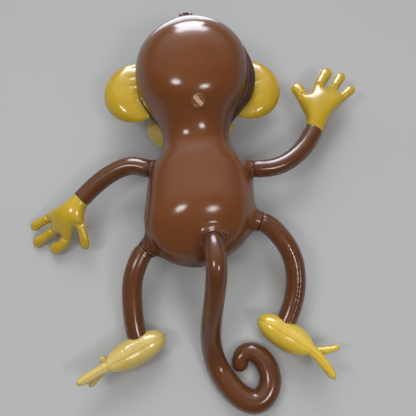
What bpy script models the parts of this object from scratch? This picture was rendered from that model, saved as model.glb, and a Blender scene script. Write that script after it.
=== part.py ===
"""A blow-up vinyl monkey, lying face down with its limbs spread and its tail curled.

Every chamber is cut from flat sheets and welded round its edge, and each is welded to the next one at a ring.
The head points along +Y, the floor is Z = 0, and the monkey's back faces up. Lengths are in metres.
"""

import math

import bmesh
import bpy
import numpy as np
from mathutils import Matrix, Vector, geometry
from mathutils.bvhtree import BVHTree

# The big chamber: head, neck and torso
BODY_LENGTH = 0.380
HEAD_WIDTH = 0.172
NECK_WIDTH = 0.1006
TORSO_WIDTH = 0.172
HEAD_LIFT = 0.098
TORSO_LIFT = 0.064
CHEEK_BULGE = 0.017
SEAM_GROOVE = 0.0012
TORSO_ROLL = math.radians(10)
HEAD_ROLL = math.radians(-10)
RUMP_SKEW = 0.11

# Tubes and pillows welded to it
ARM_DIAMETER = 0.0275
ARM_LENGTH = 0.126
WRIST_LIFT = {"left": 0.052, "right": 0.056}
LEG_DIAMETER = 0.0305
LEG_LENGTH = {"left": 0.154, "right": 0.187}
TAIL_DIAMETER = 0.029
TAIL_BEND_DIAMETER = 0.0365
TAIL_LENGTH = 0.434
EAR_DIAMETER = 0.0975
EAR_THICKNESS = 0.034
MUZZLE_WIDTH = 0.143
MUZZLE_HEIGHT = 0.098
MUZZLE_THICKNESS = 0.046
HAND_LENGTH = 0.111
HAND_THICKNESS = 0.036
FOOT_LENGTH = 0.143
FOOT_WIDTH = 0.069
FOOT_THICKNESS = 0.045
TUFT_WIDTH = 0.022
TUFT_THICKNESS = 0.012
VALVE_DIAMETER = 0.020
VALVE_RING_HEIGHT = 0.002
VALVE_FLAP_LENGTH = 0.0175
VALVE_FLAP_WIDTH = 0.0055
VALVE_FLAP_THICKNESS = 0.0034

# Welds and mesh fineness
WELD_GAP = 0.0003
FLOOR_PRESS = 0.001
STUB_FLARE = 0.014
STUB_SINK = 0.001
STUB_RINGS = 5
BODY_RINGS = 34
BODY_SEGMENTS = 28
TUBE_SIDES = 12
TUBE_STEP = 0.011
PILLOW_CELL = 0.0074
EAR_CELL = 0.0100
MUZZLE_CELL = 0.0105
TUFT_CELL = 0.0043

BROWN = (0.150, 0.050, 0.022)
YELLOW = (0.560, 0.350, 0.045)
PALE_GOLD = (0.600, 0.420, 0.120)
PINKISH = (0.520, 0.330, 0.250)


def clear_scene():
    """Take away whatever the file opened with."""
    for item in list(bpy.data.objects):
        bpy.data.objects.remove(item, do_unlink=True)


def collection(name):
    made = bpy.data.collections.new(name)
    bpy.context.scene.collection.children.link(made)
    return made


def vinyl(name, colour, roughness=0.22):
    """Thick glossy vinyl of one colour."""
    made = bpy.data.materials.new(name)
    made.use_nodes = True
    shader = made.node_tree.nodes["Principled BSDF"]
    shader.inputs["Base Color"].default_value = (*colour, 1.0)
    shader.inputs["Roughness"].default_value = roughness
    shader.inputs["Metallic"].default_value = 0.0
    return made


# Curves and meshes


def smooth_through(points, count):
    """Rows evenly spaced along a natural cubic spline through the given rows, any number of columns."""
    rows = np.array(points, float)
    knots = np.concatenate([[0.0], np.cumsum(np.linalg.norm(np.diff(rows[:, :3], axis=0), axis=1))])
    gaps = np.diff(knots)
    system = np.eye(len(rows))
    right = np.zeros_like(rows)
    for i in range(1, len(rows) - 1):
        system[i, i - 1:i + 2] = gaps[i - 1], 2.0 * (gaps[i - 1] + gaps[i]), gaps[i]
        right[i] = 6.0 * ((rows[i + 1] - rows[i]) / gaps[i] - (rows[i] - rows[i - 1]) / gaps[i - 1])
    bends = np.linalg.solve(system, right)

    def at(t):
        i = np.clip(np.searchsorted(knots, t, side="right") - 1, 0, len(gaps) - 1)
        a = (knots[i + 1] - t) / gaps[i]
        b = 1.0 - a
        cube = (a**3 - a)[:, None] * bends[i] + (b**3 - b)[:, None] * bends[i + 1]
        return a[:, None] * rows[i] + b[:, None] * rows[i + 1] + cube * (gaps[i] ** 2)[:, None] / 6.0

    fine = at(np.linspace(0.0, knots[-1], 40 * len(rows)))
    run = np.concatenate([[0.0], np.cumsum(np.linalg.norm(np.diff(fine[:, :3], axis=0), axis=1))])
    places = np.linspace(0.0, run[-1], count)
    return np.stack([np.interp(places, run, fine[:, c]) for c in range(rows.shape[1])], axis=1)


def ease(x):
    """0 to 1 with soft ends."""
    x = min(max(x, 0.0), 1.0)
    return x * x * (3.0 - 2.0 * x)


def new_object(name, mesh, material, where):
    made = bpy.data.objects.new(name, mesh)
    mesh.materials.clear()
    mesh.materials.append(material)
    mesh.shade_smooth()
    where.objects.link(made)
    return made


def mesh_from(bm, name):
    bmesh.ops.recalc_face_normals(bm, faces=bm.faces)
    mesh = bpy.data.meshes.new(name)
    bm.to_mesh(mesh)
    bm.free()
    return mesh


def evaluated_mesh(item):
    """The mesh of an object with its modifiers applied, as a copy of its own."""
    bpy.context.view_layer.update()
    seen = item.evaluated_get(bpy.context.evaluated_depsgraph_get())
    return bpy.data.meshes.new_from_object(seen)


def skin_rings(rings, first_pole, last_pole, name):
    """A closed mesh over rings of equally many points, closed by a pole or by a flat face at each end."""
    bm = bmesh.new()
    rows = [[bm.verts.new(p) for p in ring] for ring in rings]
    for low, high in zip(rows, rows[1:]):
        for k in range(len(low)):
            j = (k + 1) % len(low)
            bm.faces.new((low[k], low[j], high[j], high[k]))
    for row, pole in ((rows[0], first_pole), (rows[-1], last_pole)):
        if pole is None:
            bm.faces.new(row)
            continue
        tip = bm.verts.new(pole)
        for k in range(len(row)):
            bm.faces.new((row[k], row[(k + 1) % len(row)], tip))
    bmesh.ops.triangulate(bm, faces=bm.faces)
    return mesh_from(bm, name)


def boolean(item, other, operation):
    """Join or cut by another object, which stays as a hidden guide."""
    change = item.modifiers.new(f"{operation.lower()} {other.name}", "BOOLEAN")
    change.operation = operation
    change.solver = "EXACT"
    change.object = other


def hide(item):
    item.hide_render = True
    item.display_type = "WIRE"


def grown(item, gap, where):
    """A copy of a piece, its faces proud of it by the gap, for cutting its neighbours clear."""
    mesh = evaluated_mesh(item)
    mesh.transform(item.matrix_world)
    bm = bmesh.new()
    bm.from_mesh(mesh)
    bmesh.ops.triangulate(bm, faces=bm.faces)
    bm.normal_update()
    steps = [vertex.normal * gap * min(vertex.calc_shell_factor(), 2.0) for vertex in bm.verts]
    for vertex, step in zip(bm.verts, steps):
        vertex.co += step
    bm.to_mesh(mesh)
    bm.free()
    made = bpy.data.objects.new(f"clear_of_{item.name}", mesh)
    where.objects.link(made)
    hide(made)
    return made


def press_on_floor(bm, frame):
    """Whatever would reach below the floor lies flat on it."""
    back = frame.inverted()
    for vertex in bm.verts:
        place = frame @ vertex.co
        if place.z < 0.0:
            vertex.co = back @ Vector((place.x, place.y, 0.0))


# The big chamber

# Each row is a place along the body, from crown to rump: its share of the body length, then the half width
# as a share of half the named width there, and how far the seam rises over the named height, in metres.
# After these come the depths of the back and front panels as shares of the half width, the fullness of the
# cheeks, and how far the section stands aside as a share of the width.
HEAD_ROWS = (
    (1.000, 0.00, 0.002, 0.86, 0.76, 0.0, 0.0),
    (0.981, 0.420, 0.002, 0.86, 0.76, 0.0, 0.0),
    (0.931, 0.735, 0.002, 0.86, 0.76, 0.0, 0.0),
    (0.863, 0.945, 0.001, 0.86, 0.76, 0.3, -0.003),
    (0.779, 1.010, 0.000, 0.86, 0.76, 0.9, -0.006),
    (0.716, 0.985, -0.001, 0.86, 0.75, 1.0, -0.006),
    (0.658, 0.893, -0.004, 0.87, 0.75, 0.9, -0.004),
    (0.610, 0.752, -0.008, 0.88, 0.78, 0.5, 0.0),
)
NECK_ROWS = (
    (0.563, 1.085, 0.005, 0.87, 0.84, 0.1, 0.0),
    (0.511, 1.00, 0.000, 0.87, 0.90, 0.0, 0.0),
    (0.474, 1.055, -0.004, 0.86, 0.88, 0.0, 0.005),
)
TORSO_ROWS = (
    (0.432, 0.750, 0.007, 0.82, 0.84, 0.0, 0.016),
    (0.389, 0.883, 0.003, 0.78, 0.80, 0.0, 0.021),
    (0.334, 0.945, 0.001, 0.76, 0.785, 0.0, 0.019),
    (0.255, 0.980, 0.000, 0.75, 0.78, 0.0, 0.010),
    (0.184, 1.00, 0.000, 0.745, 0.775, 0.0, 0.0),
    (0.115, 0.925, 0.000, 0.74, 0.77, 0.0, 0.0),
    (0.057, 0.700, -0.001, 0.74, 0.77, 0.0, 0.0),
    (0.017, 0.390, -0.002, 0.74, 0.77, 0.0, 0.0),
    (0.000, 0.00, -0.002, 0.74, 0.77, 0.0, 0.0),
)
RUMP_Y = -0.267 * BODY_LENGTH
NECK_LIFT_SHARE = 0.47
SKEW_START = 0.32
SKEW_REACH = 0.25
CHEEK_SHAPE = 0.75


def body_outline():
    """Rows from crown to rump: y, half width, seam height, back, front, cheek, sideways place and roll."""
    rows = []
    neck_lift = TORSO_LIFT + NECK_LIFT_SHARE * (HEAD_LIFT - TORSO_LIFT)
    for source, width, lift, roll in (
        (HEAD_ROWS, HEAD_WIDTH, HEAD_LIFT, HEAD_ROLL),
        (NECK_ROWS, NECK_WIDTH, neck_lift, 0.5 * (HEAD_ROLL + TORSO_ROLL)),
        (TORSO_ROWS, TORSO_WIDTH, TORSO_LIFT, TORSO_ROLL),
    ):
        for share, half, raised, back, front, cheek, aside in source:
            y = RUMP_Y + share * BODY_LENGTH
            rows.append((y, 0.5 * width * half, lift + raised, back, front, cheek, aside * width, roll))
    first = tuple(-v if c == 1 else v for c, v in enumerate(rows[1]))
    last = tuple(-v if c == 1 else v for c, v in enumerate(rows[-2]))
    return [first] + rows + [last]


def body_section(row):
    """One ring of the body: a rounded back panel, the side seams and a front panel with fuller cheeks."""
    y, half, lift, back, front, cheek, aside, roll = row
    skew = RUMP_SKEW * ease((RUMP_Y + SKEW_START * BODY_LENGTH - y) / (SKEW_REACH * BODY_LENGTH))
    ring = []
    for k in range(BODY_SEGMENTS):
        angle = 2.0 * math.pi * k / BODY_SEGMENTS
        side = math.cos(angle)
        rise = math.sin(angle)
        x = half * side
        z = half * rise * (back if rise > 0.0 else front)
        below = math.asin(max(0.0, -rise)) / (0.5 * math.pi)
        bulge = CHEEK_BULGE * cheek * math.sin(math.pi * below**CHEEK_SHAPE)
        if abs(rise) < 0.001:
            bulge = -min(SEAM_GROOVE, 0.2 * half)
        x += math.copysign(bulge, side)
        turned_x = x * math.cos(roll) + z * math.sin(roll)
        turned_z = lift + z * math.cos(roll) - x * math.sin(roll)
        ring.append((aside + turned_x, y + skew * turned_x, max(turned_z, 0.0)))
    return ring


def body(where, material):
    """The chamber lies on its belly, which is pressed flat where it meets the floor."""
    fine = smooth_through(body_outline(), 900)
    crown = int(np.argmax(fine[:, 0]))
    rump = int(np.argmin(fine[:, 0]))
    kept = fine[crown:rump + 1]
    run = np.concatenate([[0.0], np.cumsum(np.hypot(np.diff(kept[:, 0]), np.diff(kept[:, 1])))])
    places = np.linspace(0.0, run[-1], BODY_RINGS + 2)
    rows = np.stack([np.interp(places, run, kept[:, c]) for c in range(kept.shape[1])], axis=1)
    rings = [body_section(row) for row in rows[1:-1]]
    crown_pole, rump_pole = [(rows[i][6], rows[i][0], rows[i][2]) for i in (0, -1)]
    mesh = skin_rings(rings, crown_pole, rump_pole, "head_and_body")
    return new_object("head_and_body", mesh, material, where)


class Surface:
    """Rays against a finished piece, to find where its neighbours meet it."""

    def __init__(self, item):
        mesh = evaluated_mesh(item)
        mesh.transform(item.matrix_world)
        bm = bmesh.new()
        bm.from_mesh(mesh)
        self.tree = BVHTree.FromBMesh(bm)
        bm.free()
        bpy.data.meshes.remove(mesh)

    def hit(self, start, direction):
        """Where a ray that comes from outside first meets the surface, or None."""
        return self.tree.ray_cast(Vector(start), Vector(direction))[0]


# Tubes


class Root:
    """Where a tube is welded to the body: a ring on a short stub that flares into the side."""

    def __init__(self, name, surface, anchor, direction, diameter, reach):
        self.name = name
        self.surface = surface
        self.direction = Vector(direction).normalized()
        self.radius = diameter / 2
        self.reach = reach
        foot = surface.hit(Vector(anchor) + self.direction * BODY_LENGTH, -self.direction)
        self.ring = foot + self.direction * reach

    def first_rows(self):
        """The start of the tube's route: straight off the ring, a weld's gap away from the stub."""
        rows = []
        for off in (WELD_GAP, 0.35 * self.radius):
            rows.append((*(self.ring + self.direction * off), self.radius))
        return rows

    def stub(self, where, material):
        """A collar from the tube's ring to the body's side, flaring all round into the surface it meets."""
        across = self.direction.orthogonal().normalized()
        over = self.direction.cross(across)
        deepest = self.reach + 1.5 * self.radius
        inner_end = self.ring - self.direction * (self.reach + 2.0 * self.radius)
        rings = [[] for _ in range(STUB_RINGS + 2)]
        for k in range(TUBE_SIDES):
            angle = 2.0 * math.pi * k / TUBE_SIDES
            out = math.cos(angle) * across + math.sin(angle) * over
            met = self.surface.hit(self.ring + out * (self.radius + STUB_FLARE), -self.direction)
            depth = deepest
            if met is not None:
                depth = min(deepest, (self.ring - met).dot(self.direction) + STUB_SINK)
            for i in range(STUB_RINGS + 1):
                turn = 0.5 * math.pi * i / STUB_RINGS
                wide = self.radius + STUB_FLARE * (1.0 - math.cos(turn))
                rings[i].append(self.ring + out * wide - self.direction * depth * math.sin(turn))
            rings[-1].append(inner_end + out * 0.7 * self.radius)
        name = f"stub_{self.name}"
        made = new_object(name, skin_rings(rings, None, None, name), material, where)
        hide(made)
        return made


BLUNT_TIP_ANGLES = (25, 48, 68, 84)


def tube(name, route, where, material, blunt=False):
    """A round tube along a smooth route of places and radii, with its end and its heading there."""
    route = np.array(route, float)
    heading = route[1, :3] - route[0, :3]
    heading /= np.linalg.norm(heading)
    fine = smooth_through(route, 400)
    run = np.concatenate([[0.0], np.cumsum(np.linalg.norm(np.diff(fine[:, :3], axis=0), axis=1))])
    cap = route[-1, 3] if blunt else 0.0
    places = list(np.linspace(0.0, run[-1] - cap, max(6, round(run[-1] / TUBE_STEP))))
    swell = [1.0] * len(places)
    for angle in BLUNT_TIP_ANGLES if blunt else ():
        places.append(run[-1] - cap + cap * math.sin(math.radians(angle)))
        swell.append(math.cos(math.radians(angle)))
    rows = np.stack([np.interp(places, run, fine[:, c]) for c in range(4)], axis=1)
    rows[:, 3] *= swell
    rows[1, :3] = rows[0, :3] + heading * np.linalg.norm(rows[1, :3] - rows[0, :3])
    curve = bpy.data.curves.new(name, "CURVE")
    curve.dimensions = "3D"
    curve.bevel_depth = 1.0
    curve.bevel_resolution = TUBE_SIDES // 2 - 2
    curve.render_resolution_u = 0
    curve.use_fill_caps = True
    line = curve.splines.new("POLY")
    line.points.add(len(rows) - 1)
    for point, row in zip(line.points, rows):
        point.co = (*row[:3], 1.0)
        point.radius = row[3]
    drawn = bpy.data.objects.new(f"{name}_route", curve)
    where.objects.link(drawn)
    mesh = evaluated_mesh(drawn)
    bpy.data.objects.remove(drawn, do_unlink=True)
    bm = bmesh.new()
    bm.from_mesh(mesh)
    bpy.data.meshes.remove(mesh)
    bmesh.ops.remove_doubles(bm, verts=bm.verts, dist=0.00001)
    made = new_object(name, mesh_from(bm, name), material, where)
    end = Vector(rows[-1][:3])
    return made, end, (end - Vector(rows[-2][:3])).normalized()


# Pillows: two flat sheets welded round an outline and blown up


def round_outline(across, along, count):
    angles = [2.0 * math.pi * k / count for k in range(count)]
    return [(0.5 * across * math.cos(a), 0.5 * along * math.sin(a)) for a in angles]


def softened(outline, times=2):
    """Corners cut again and again, so that an outline of few points runs smoothly."""
    loop = np.array(outline, float)
    for _ in range(times):
        after = np.roll(loop, -1, axis=0)
        loop = np.stack([0.75 * loop + 0.25 * after, 0.25 * loop + 0.75 * after], axis=1).reshape(-1, 2)
    return loop


def evenly_spaced(loop, step):
    """A closed outline with points at equal steps."""
    closed = np.vstack([loop, loop[:1]])
    run = np.concatenate([[0.0], np.cumsum(np.linalg.norm(np.diff(closed, axis=0), axis=1))])
    count = max(12, int(round(run[-1] / step)))
    places = np.linspace(0.0, run[-1], count, endpoint=False)
    return np.stack([np.interp(places, run, closed[:, c]) for c in range(2)], axis=1)


def distance_to(loop, points):
    """The distance of each point from a closed outline."""
    a = loop[None, :, :]
    b = np.roll(loop, -1, axis=0)[None, :, :]
    p = points[:, None, :]
    along = np.clip(((p - a) * (b - a)).sum(2) / ((b - a) ** 2).sum(2), 0.0, 1.0)
    return np.linalg.norm(p - a - along[..., None] * (b - a), axis=2).min(1)


def inside(loop, points):
    """Whether each point lies inside a closed outline."""
    x, y = points[:, 0:1], points[:, 1:2]
    ax, ay = loop[None, :, 0], loop[None, :, 1]
    bx, by = np.roll(loop, -1, axis=0).T[:, None, :]
    crosses = (ay > y) != (by > y)
    with np.errstate(divide="ignore", invalid="ignore"):
        left_of = x < (bx - ax) * (y - ay) / (by - ay) + ax
    return (crosses & left_of).sum(1) % 2 == 1


def sheet(outline, cell):
    """One flat sheet cut to the outline, as points and triangles; the outline's points come first."""
    edge = evenly_spaced(softened(outline), cell)
    area = 0.5 * np.sum(edge[:, 0] * np.roll(edge[:, 1], -1) - edge[:, 1] * np.roll(edge[:, 0], -1))
    if area < 0.0:
        edge = edge[::-1]
    ahead = np.roll(edge, -1, axis=0) - np.roll(edge, 1, axis=0)
    inward = np.stack([-ahead[:, 1], ahead[:, 0]], axis=1) / np.linalg.norm(ahead, axis=1)[:, None]
    inset = 0.36 * cell
    rim = edge + inset * inward
    low, high = edge.min(0), edge.max(0)
    grid = []
    for j in range(int((high[1] - low[1]) / (0.866 * cell)) + 2):
        for i in range(int((high[0] - low[0]) / cell) + 2):
            grid.append((low[0] + (i + 0.5 * (j % 2)) * cell, low[1] + j * 0.866 * cell))
    grid = np.array(grid)
    grid = grid[inside(edge, grid)]
    grid = grid[distance_to(edge, grid) > 0.85 * cell]
    rim = rim[distance_to(edge, rim) > 0.9 * inset]
    points = np.vstack([edge, rim, grid])
    loop = list(range(len(edge)))
    places, triangles = triangulated(points, loop)
    flat = [places[list(t)].mean(0) for t in triangles if max(t) < len(edge)]
    if flat:
        places, triangles = triangulated(np.vstack([points, flat]), loop)
    return places, triangles, edge


def triangulated(points, loop):
    """Triangles between the points, inside the loop."""
    found = geometry.delaunay_2d_cdt([Vector(p) for p in points], [], [loop], 1, 1e-7)
    return np.array([v[:] for v in found[0]]), [tuple(f) for f in found[2] if len(f) == 3]


def blown_height(places, triangles, edge):
    """How far the blown-up sheet rises over each point: round over a strip, flatter over a broad palm."""
    count = len(places)
    stiff = np.zeros((count, count))
    load = np.zeros(count)
    for tri in triangles:
        corners = places[list(tri)]
        area = 0.5 * abs(np.cross(corners[1] - corners[0], corners[2] - corners[0]))
        sides = np.roll(corners, -1, axis=0) - np.roll(corners, -2, axis=0)
        local = sides @ sides.T / (4.0 * max(area, 1e-12))
        for a in range(3):
            load[tri[a]] += area / 3.0
            for b in range(3):
                stiff[tri[a], tri[b]] += local[a, b]
    free = distance_to(edge, places) > 1e-6
    height = np.zeros(count)
    height[free] = np.linalg.solve(stiff[np.ix_(free, free)], load[free])
    return np.sqrt(2.0 * np.maximum(height, 0.0))


def pillow(outline, thickness, cell=PILLOW_CELL):
    """Both sheets, welded at the outline, in their own XY plane.

    A narrow strip blows up to a round section, and the broad parts are held in to the thickness.
    """
    places, triangles, edge = sheet(outline, cell)
    rise = blown_height(places, triangles, edge)
    fullest = min(0.5 * thickness, 0.99 * rise.max())
    limit = (1.0 / fullest**2 - 1.0 / rise.max() ** 2) ** -0.5
    rise = rise * limit / np.hypot(rise, limit)
    bm = bmesh.new()
    upper = [bm.verts.new((x, y, h)) for (x, y), h in zip(places, rise)]
    lower = [top if h < 1e-6 else bm.verts.new((x, y, -h)) for top, (x, y), h in zip(upper, places, rise)]
    for a, b, c in triangles:
        bm.faces.new((upper[a], upper[b], upper[c]))
        bm.faces.new((lower[c], lower[b], lower[a]))
    return bm


def fingered_outline(palm_before, fingers, palm_after):
    """An outline that runs up one side of a palm, round each finger, and down the other side.

    A finger is its root, its tip and its width, and a hollow runs from one finger's root to the next.
    """
    outline = list(palm_before)
    for root, tip, width in fingers:
        root, tip = np.array(root), np.array(tip)
        ahead = (tip - root) / np.linalg.norm(tip - root)
        aside = np.array([-ahead[1], ahead[0]])
        half = 0.5 * width
        neck = tip - half * ahead
        outline.append(tuple(root + 0.92 * half * aside))
        for turn in (90, 50, 18, -18, -50, -90):
            angle = math.radians(turn)
            around = math.cos(angle) * ahead + math.sin(angle) * aside
            outline.append(tuple(neck + 1.06 * half * around))
        outline.append(tuple(root - 0.92 * half * aside))
    return outline + list(palm_after)


# Hands

# The hand's plan as shares of its length: the wrist at 0, the fingertips near 1, the thumb on the + side.
HAND_FINGERS = (
    ((0.44, 0.255), (0.625, 0.385), 0.165),
    ((0.72, 0.065), (1.000, 0.020), 0.165),
    ((0.69, -0.135), (1.015, -0.240), 0.140),
    ((0.61, -0.290), (0.840, -0.445), 0.135),
)
HAND_SIDE_BEFORE = ((-0.25, 0.0), (0.02, 0.0), (0.12, 0.165), (0.24, 0.235))
HAND_SIDE_AFTER = ((0.46, -0.285), (0.27, -0.165), (0.14, -0.125), (0.02, 0.0), (-0.25, 0.0))


def posed_fingers(side):
    """The fingers of one hand, each swung about its root and drawn longer or shorter in its own pose."""
    posed = []
    for finger, swing, stretch in zip(HAND_FINGERS, FINGER_SWINGS[side], FINGER_STRETCHES[side]):
        root, tip, width = finger
        ahead = Matrix.Rotation(swing, 2) @ (Vector(tip) - Vector(root)) * stretch
        posed.append((root, tuple(Vector(root) + ahead), width))
    return posed


def hand_outline(side):
    """The hand's outline in metres, with the palm turned sideways on the wrist."""
    wrist = 0.5 * ARM_DIAMETER
    points = fingered_outline(HAND_SIDE_BEFORE, posed_fingers(side), HAND_SIDE_AFTER)
    placed = []
    for i, (u, v) in enumerate(points):
        u, v = u * HAND_LENGTH, v * HAND_LENGTH
        if i < 2:
            v = wrist
        if i >= len(points) - 2:
            v = -wrist
        angle = HAND_TURN[side] * ease((u - 0.05 * HAND_LENGTH) / (0.35 * HAND_LENGTH))
        placed.append((u * math.cos(angle) - v * math.sin(angle), u * math.sin(angle) + v * math.cos(angle)))
    return placed


def hand(side, wrist, ahead, where, material):
    """A pillow with three fingers and a thumb, cut square at the wrist to meet the arm's end."""
    name = f"hand_{side}"
    bm = pillow(hand_outline(side), HAND_THICKNESS)
    near = [v.co.z for v in bm.verts if abs(v.co.x) < PILLOW_CELL]
    fit = 0.5 * ARM_DIAMETER / max(near)
    for vertex in bm.verts:
        vertex.co.z *= fit + (1.0 - fit) * ease(vertex.co.x / (0.3 * HAND_LENGTH))
    everything = bm.verts[:] + bm.edges[:] + bm.faces[:]
    cut = bmesh.ops.bisect_plane(
        bm, geom=everything, plane_co=(0, 0, 0), plane_no=(1, 0, 0), clear_inner=True
    )
    bmesh.ops.holes_fill(bm, edges=[e for e in cut["geom_cut"] if isinstance(e, bmesh.types.BMEdge)])
    for vertex in bm.verts:
        bend = HAND_DROOP[side] * ease(vertex.co.x / (0.35 * HAND_LENGTH))
        vertex.co.z -= vertex.co.x * math.sin(bend)
        vertex.co.x *= math.cos(bend)
    frame = standing_frame(wrist + ahead * WELD_GAP, ahead, (0, 0, 1))
    press_on_floor(bm, frame)
    made = new_object(name, mesh_from(bm, name), material, where)
    made.matrix_world = frame
    return made


def standing_frame(place, ahead, up):
    """A frame at a place, with X ahead and Z as near up as it can be."""
    ahead = Vector(ahead).normalized()
    aside = Vector(up).cross(ahead).normalized()
    upward = ahead.cross(aside)
    return Matrix.Translation(place) @ Matrix((ahead, aside, upward)).transposed().to_4x4()


# Feet

# The foot's plan as shares of its length: the heel at 0, the toe tips near 1, across from edge to edge.
FOOT_TOES = (
    ((0.63, 0.165), (1.00, 0.190), 0.098),
    ((0.66, 0.055), (0.925, 0.075), 0.088),
    ((0.65, -0.055), (0.83, -0.050), 0.088),
    ((0.60, -0.165), (0.76, -0.185), 0.095),
)
FOOT_SIDE_BEFORE = ((0.0, -0.055), (0.0, 0.055), (0.05, 0.125), (0.16, 0.165), (0.30, 0.175), (0.46, 0.215))
FOOT_SIDE_AFTER = ((0.46, -0.225), (0.30, -0.185), (0.16, -0.165), (0.05, -0.125))


def foot(side, ankle, where, material):
    """A pillow standing on its edge, heel to toes along the floor, with each toe bent its own way."""
    name = f"foot_{side}"
    points = fingered_outline(FOOT_SIDE_BEFORE, FOOT_TOES, FOOT_SIDE_AFTER)
    widest = max(v for _, v in points) - min(v for _, v in points)
    across = FOOT_WIDTH / widest
    bm = pillow([(u * FOOT_LENGTH, v * across) for u, v in points], FOOT_THICKNESS)
    middles = [0.5 * across * (root[1] + tip[1]) for root, tip, _ in FOOT_TOES]
    for vertex in bm.verts:
        nearest = min(range(len(middles)), key=lambda i: abs(middles[i] - vertex.co.y))
        root, tip, _ = FOOT_TOES[nearest]
        share = max(0.0, (vertex.co.x / FOOT_LENGTH - root[0]) / (tip[0] - root[0]))
        vertex.co.z += TOE_BENDS[side][nearest] * share**1.5
    low = min(v.co.y for v in bm.verts)
    ahead = Vector(FOOT_DIRECTIONS[side]).normalized()
    upward = Vector((0.0, 0.0, 1.0))
    turned = Matrix((ahead, upward, ahead.cross(upward))).transposed().to_4x4()
    heel = ankle - ahead * ANKLE_SHARE * FOOT_LENGTH
    frame = Matrix.Translation((heel.x, heel.y, -low - FLOOR_PRESS)) @ turned
    press_on_floor(bm, frame)
    made = new_object(name, mesh_from(bm, name), material, where)
    made.matrix_world = frame
    return made


# The pose: each route runs from the ring in shares of the tube's own length

ARM_ANCHORS = {"left": (-0.423, 0.408), "right": (0.504, 0.384)}
ARM_DIRECTIONS = {"left": (-0.96, 0.28, -0.05), "right": (1.0, 0.0, -0.05)}
ARM_ROUTES = {
    "left": ((-0.246, 0.056), (-0.390, 0.025), (-0.544, -0.049), (-0.700, -0.158), (-0.872, -0.313)),
    "right": ((0.206, 0.004), (0.392, 0.057), (0.563, 0.166), (0.703, 0.314), (0.808, 0.483)),
}
ARM_REACH = 0.006
HAND_TURN = {"left": math.radians(8.7), "right": math.radians(12.6)}
FINGER_SWINGS = {
    "left": [math.radians(a) for a in (8, 4, -10, 0)],
    "right": [math.radians(a) for a in (4, -3, -3, 0)],
}
FINGER_STRETCHES = {"left": (0.96, 0.80, 1.06, 0.96), "right": (1.05, 1.10, 1.0, 1.05)}
HAND_DROOP = {"left": math.radians(20), "right": math.radians(3)}

LEG_ANCHORS = {"left": (-0.504, 0.070), "right": (0.587, 0.154)}
LEG_DIRECTIONS = {"left": (-0.77, -0.63, -0.10), "right": (0.93, -0.37, -0.08)}
LEG_ROUTES = {
    "left": (
        (-0.088, -0.118),
        (-0.145, -0.273),
        (-0.165, -0.444),
        (-0.163, -0.636),
        (-0.131, -0.831),
        (-0.092, -0.929),
    ),
    "right": (
        (0.142, -0.115),
        (0.232, -0.270),
        (0.262, -0.448),
        (0.236, -0.630),
        (0.172, -0.787),
        (0.110, -0.884),
    ),
}
LEG_REACH = 0.008
FOOT_DIRECTIONS = {"left": (-0.907, -0.420, 0.0), "right": (0.820, -0.572, 0.0)}
ANKLE_SHARE = 0.27
TOE_BENDS = {"left": (-0.002, -0.018, 0.014, 0.018), "right": (0.020, -0.028, 0.003, 0.008)}

# Along the tail: sideways and lengthwise, then the height from the floor up to the ring, then the girth
# from the shaft's diameter up to the diameter at the bend
TAIL_ANCHOR = (0.095, 0.089)
TAIL_DIRECTION = (0.03, -0.62, 0.78)
TAIL_REACH = 0.006
TAIL_LIFT = 1.83 * TORSO_LIFT
TAIL_ROUTE = (
    (0.004, -0.049, 1.13, 0.0),
    (0.005, -0.094, 1.14, 0.0),
    (0.000, -0.148, 1.01, 0.0),
    (-0.011, -0.212, 0.77, 0.0),
    (-0.022, -0.280, 0.47, 0.1),
    (-0.023, -0.349, 0.19, 0.2),
    (-0.005, -0.420, 0.03, 0.5),
    (0.035, -0.488, 0.0, 0.9),
    (0.076, -0.529, 0.0, 1.0),
    (0.121, -0.543, 0.0, 1.0),
    (0.157, -0.520, 0.0, 0.85),
    (0.175, -0.476, 0.0, 0.65),
    (0.168, -0.430, 0.0, 0.45),
    (0.140, -0.389, 0.0, 0.2),
    (0.105, -0.375, 0.0, -0.1),
    (0.079, -0.392, 0.0, -0.35),
    (0.076, -0.436, 0.0, -0.7),
)

EAR_PLACES = {"left": (-0.544, 0.733), "right": (0.520, 0.722)}
EAR_LIFT_BELOW_SEAM = 0.028
EAR_DROOP = math.radians(8)
MUZZLE_PLACE = (-0.050, 0.621)
TUFT_PLACE = (-0.030, 1.017)
VALVE_PLACE = (0.037, 0.6035)
VALVE_TURN = math.radians(-63)
# The ring's profile: shares of its radius, and heights over the head's surface
VALVE_PROFILE = (
    (0.00, 0.45 * VALVE_RING_HEIGHT),
    (0.62, 0.45 * VALVE_RING_HEIGHT),
    (0.70, VALVE_RING_HEIGHT),
    (0.92, VALVE_RING_HEIGHT),
    (1.00, 0.40 * VALVE_RING_HEIGHT),
    (1.00, -1.50 * VALVE_RING_HEIGHT),
    (0.00, -1.50 * VALVE_RING_HEIGHT),
)


def on_body(place, width):
    """A place given as shares of a width and of the body's length, in metres."""
    return (place[0] * width, RUMP_Y + place[1] * BODY_LENGTH)


def limb_root(name, surface, anchor, direction, diameter, reach, lift=TORSO_LIFT):
    return Root(name, surface, (*on_body(anchor, TORSO_WIDTH), lift), direction, diameter, reach)


def arm(side, root, where, material):
    """From the shoulder ring to the wrist, sinking a little on the way."""
    rows = root.first_rows()
    drop = WRIST_LIFT[side] - root.ring.z
    route = ARM_ROUTES[side]
    for i, (x, y) in enumerate(route, 1):
        share = i / len(route)
        place = root.ring + Vector((x, y, 0.0)) * ARM_LENGTH
        rows.append((place.x, place.y, root.ring.z + drop * share, root.radius))
    return tube(f"arm_{side}", rows, where, material)


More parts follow.
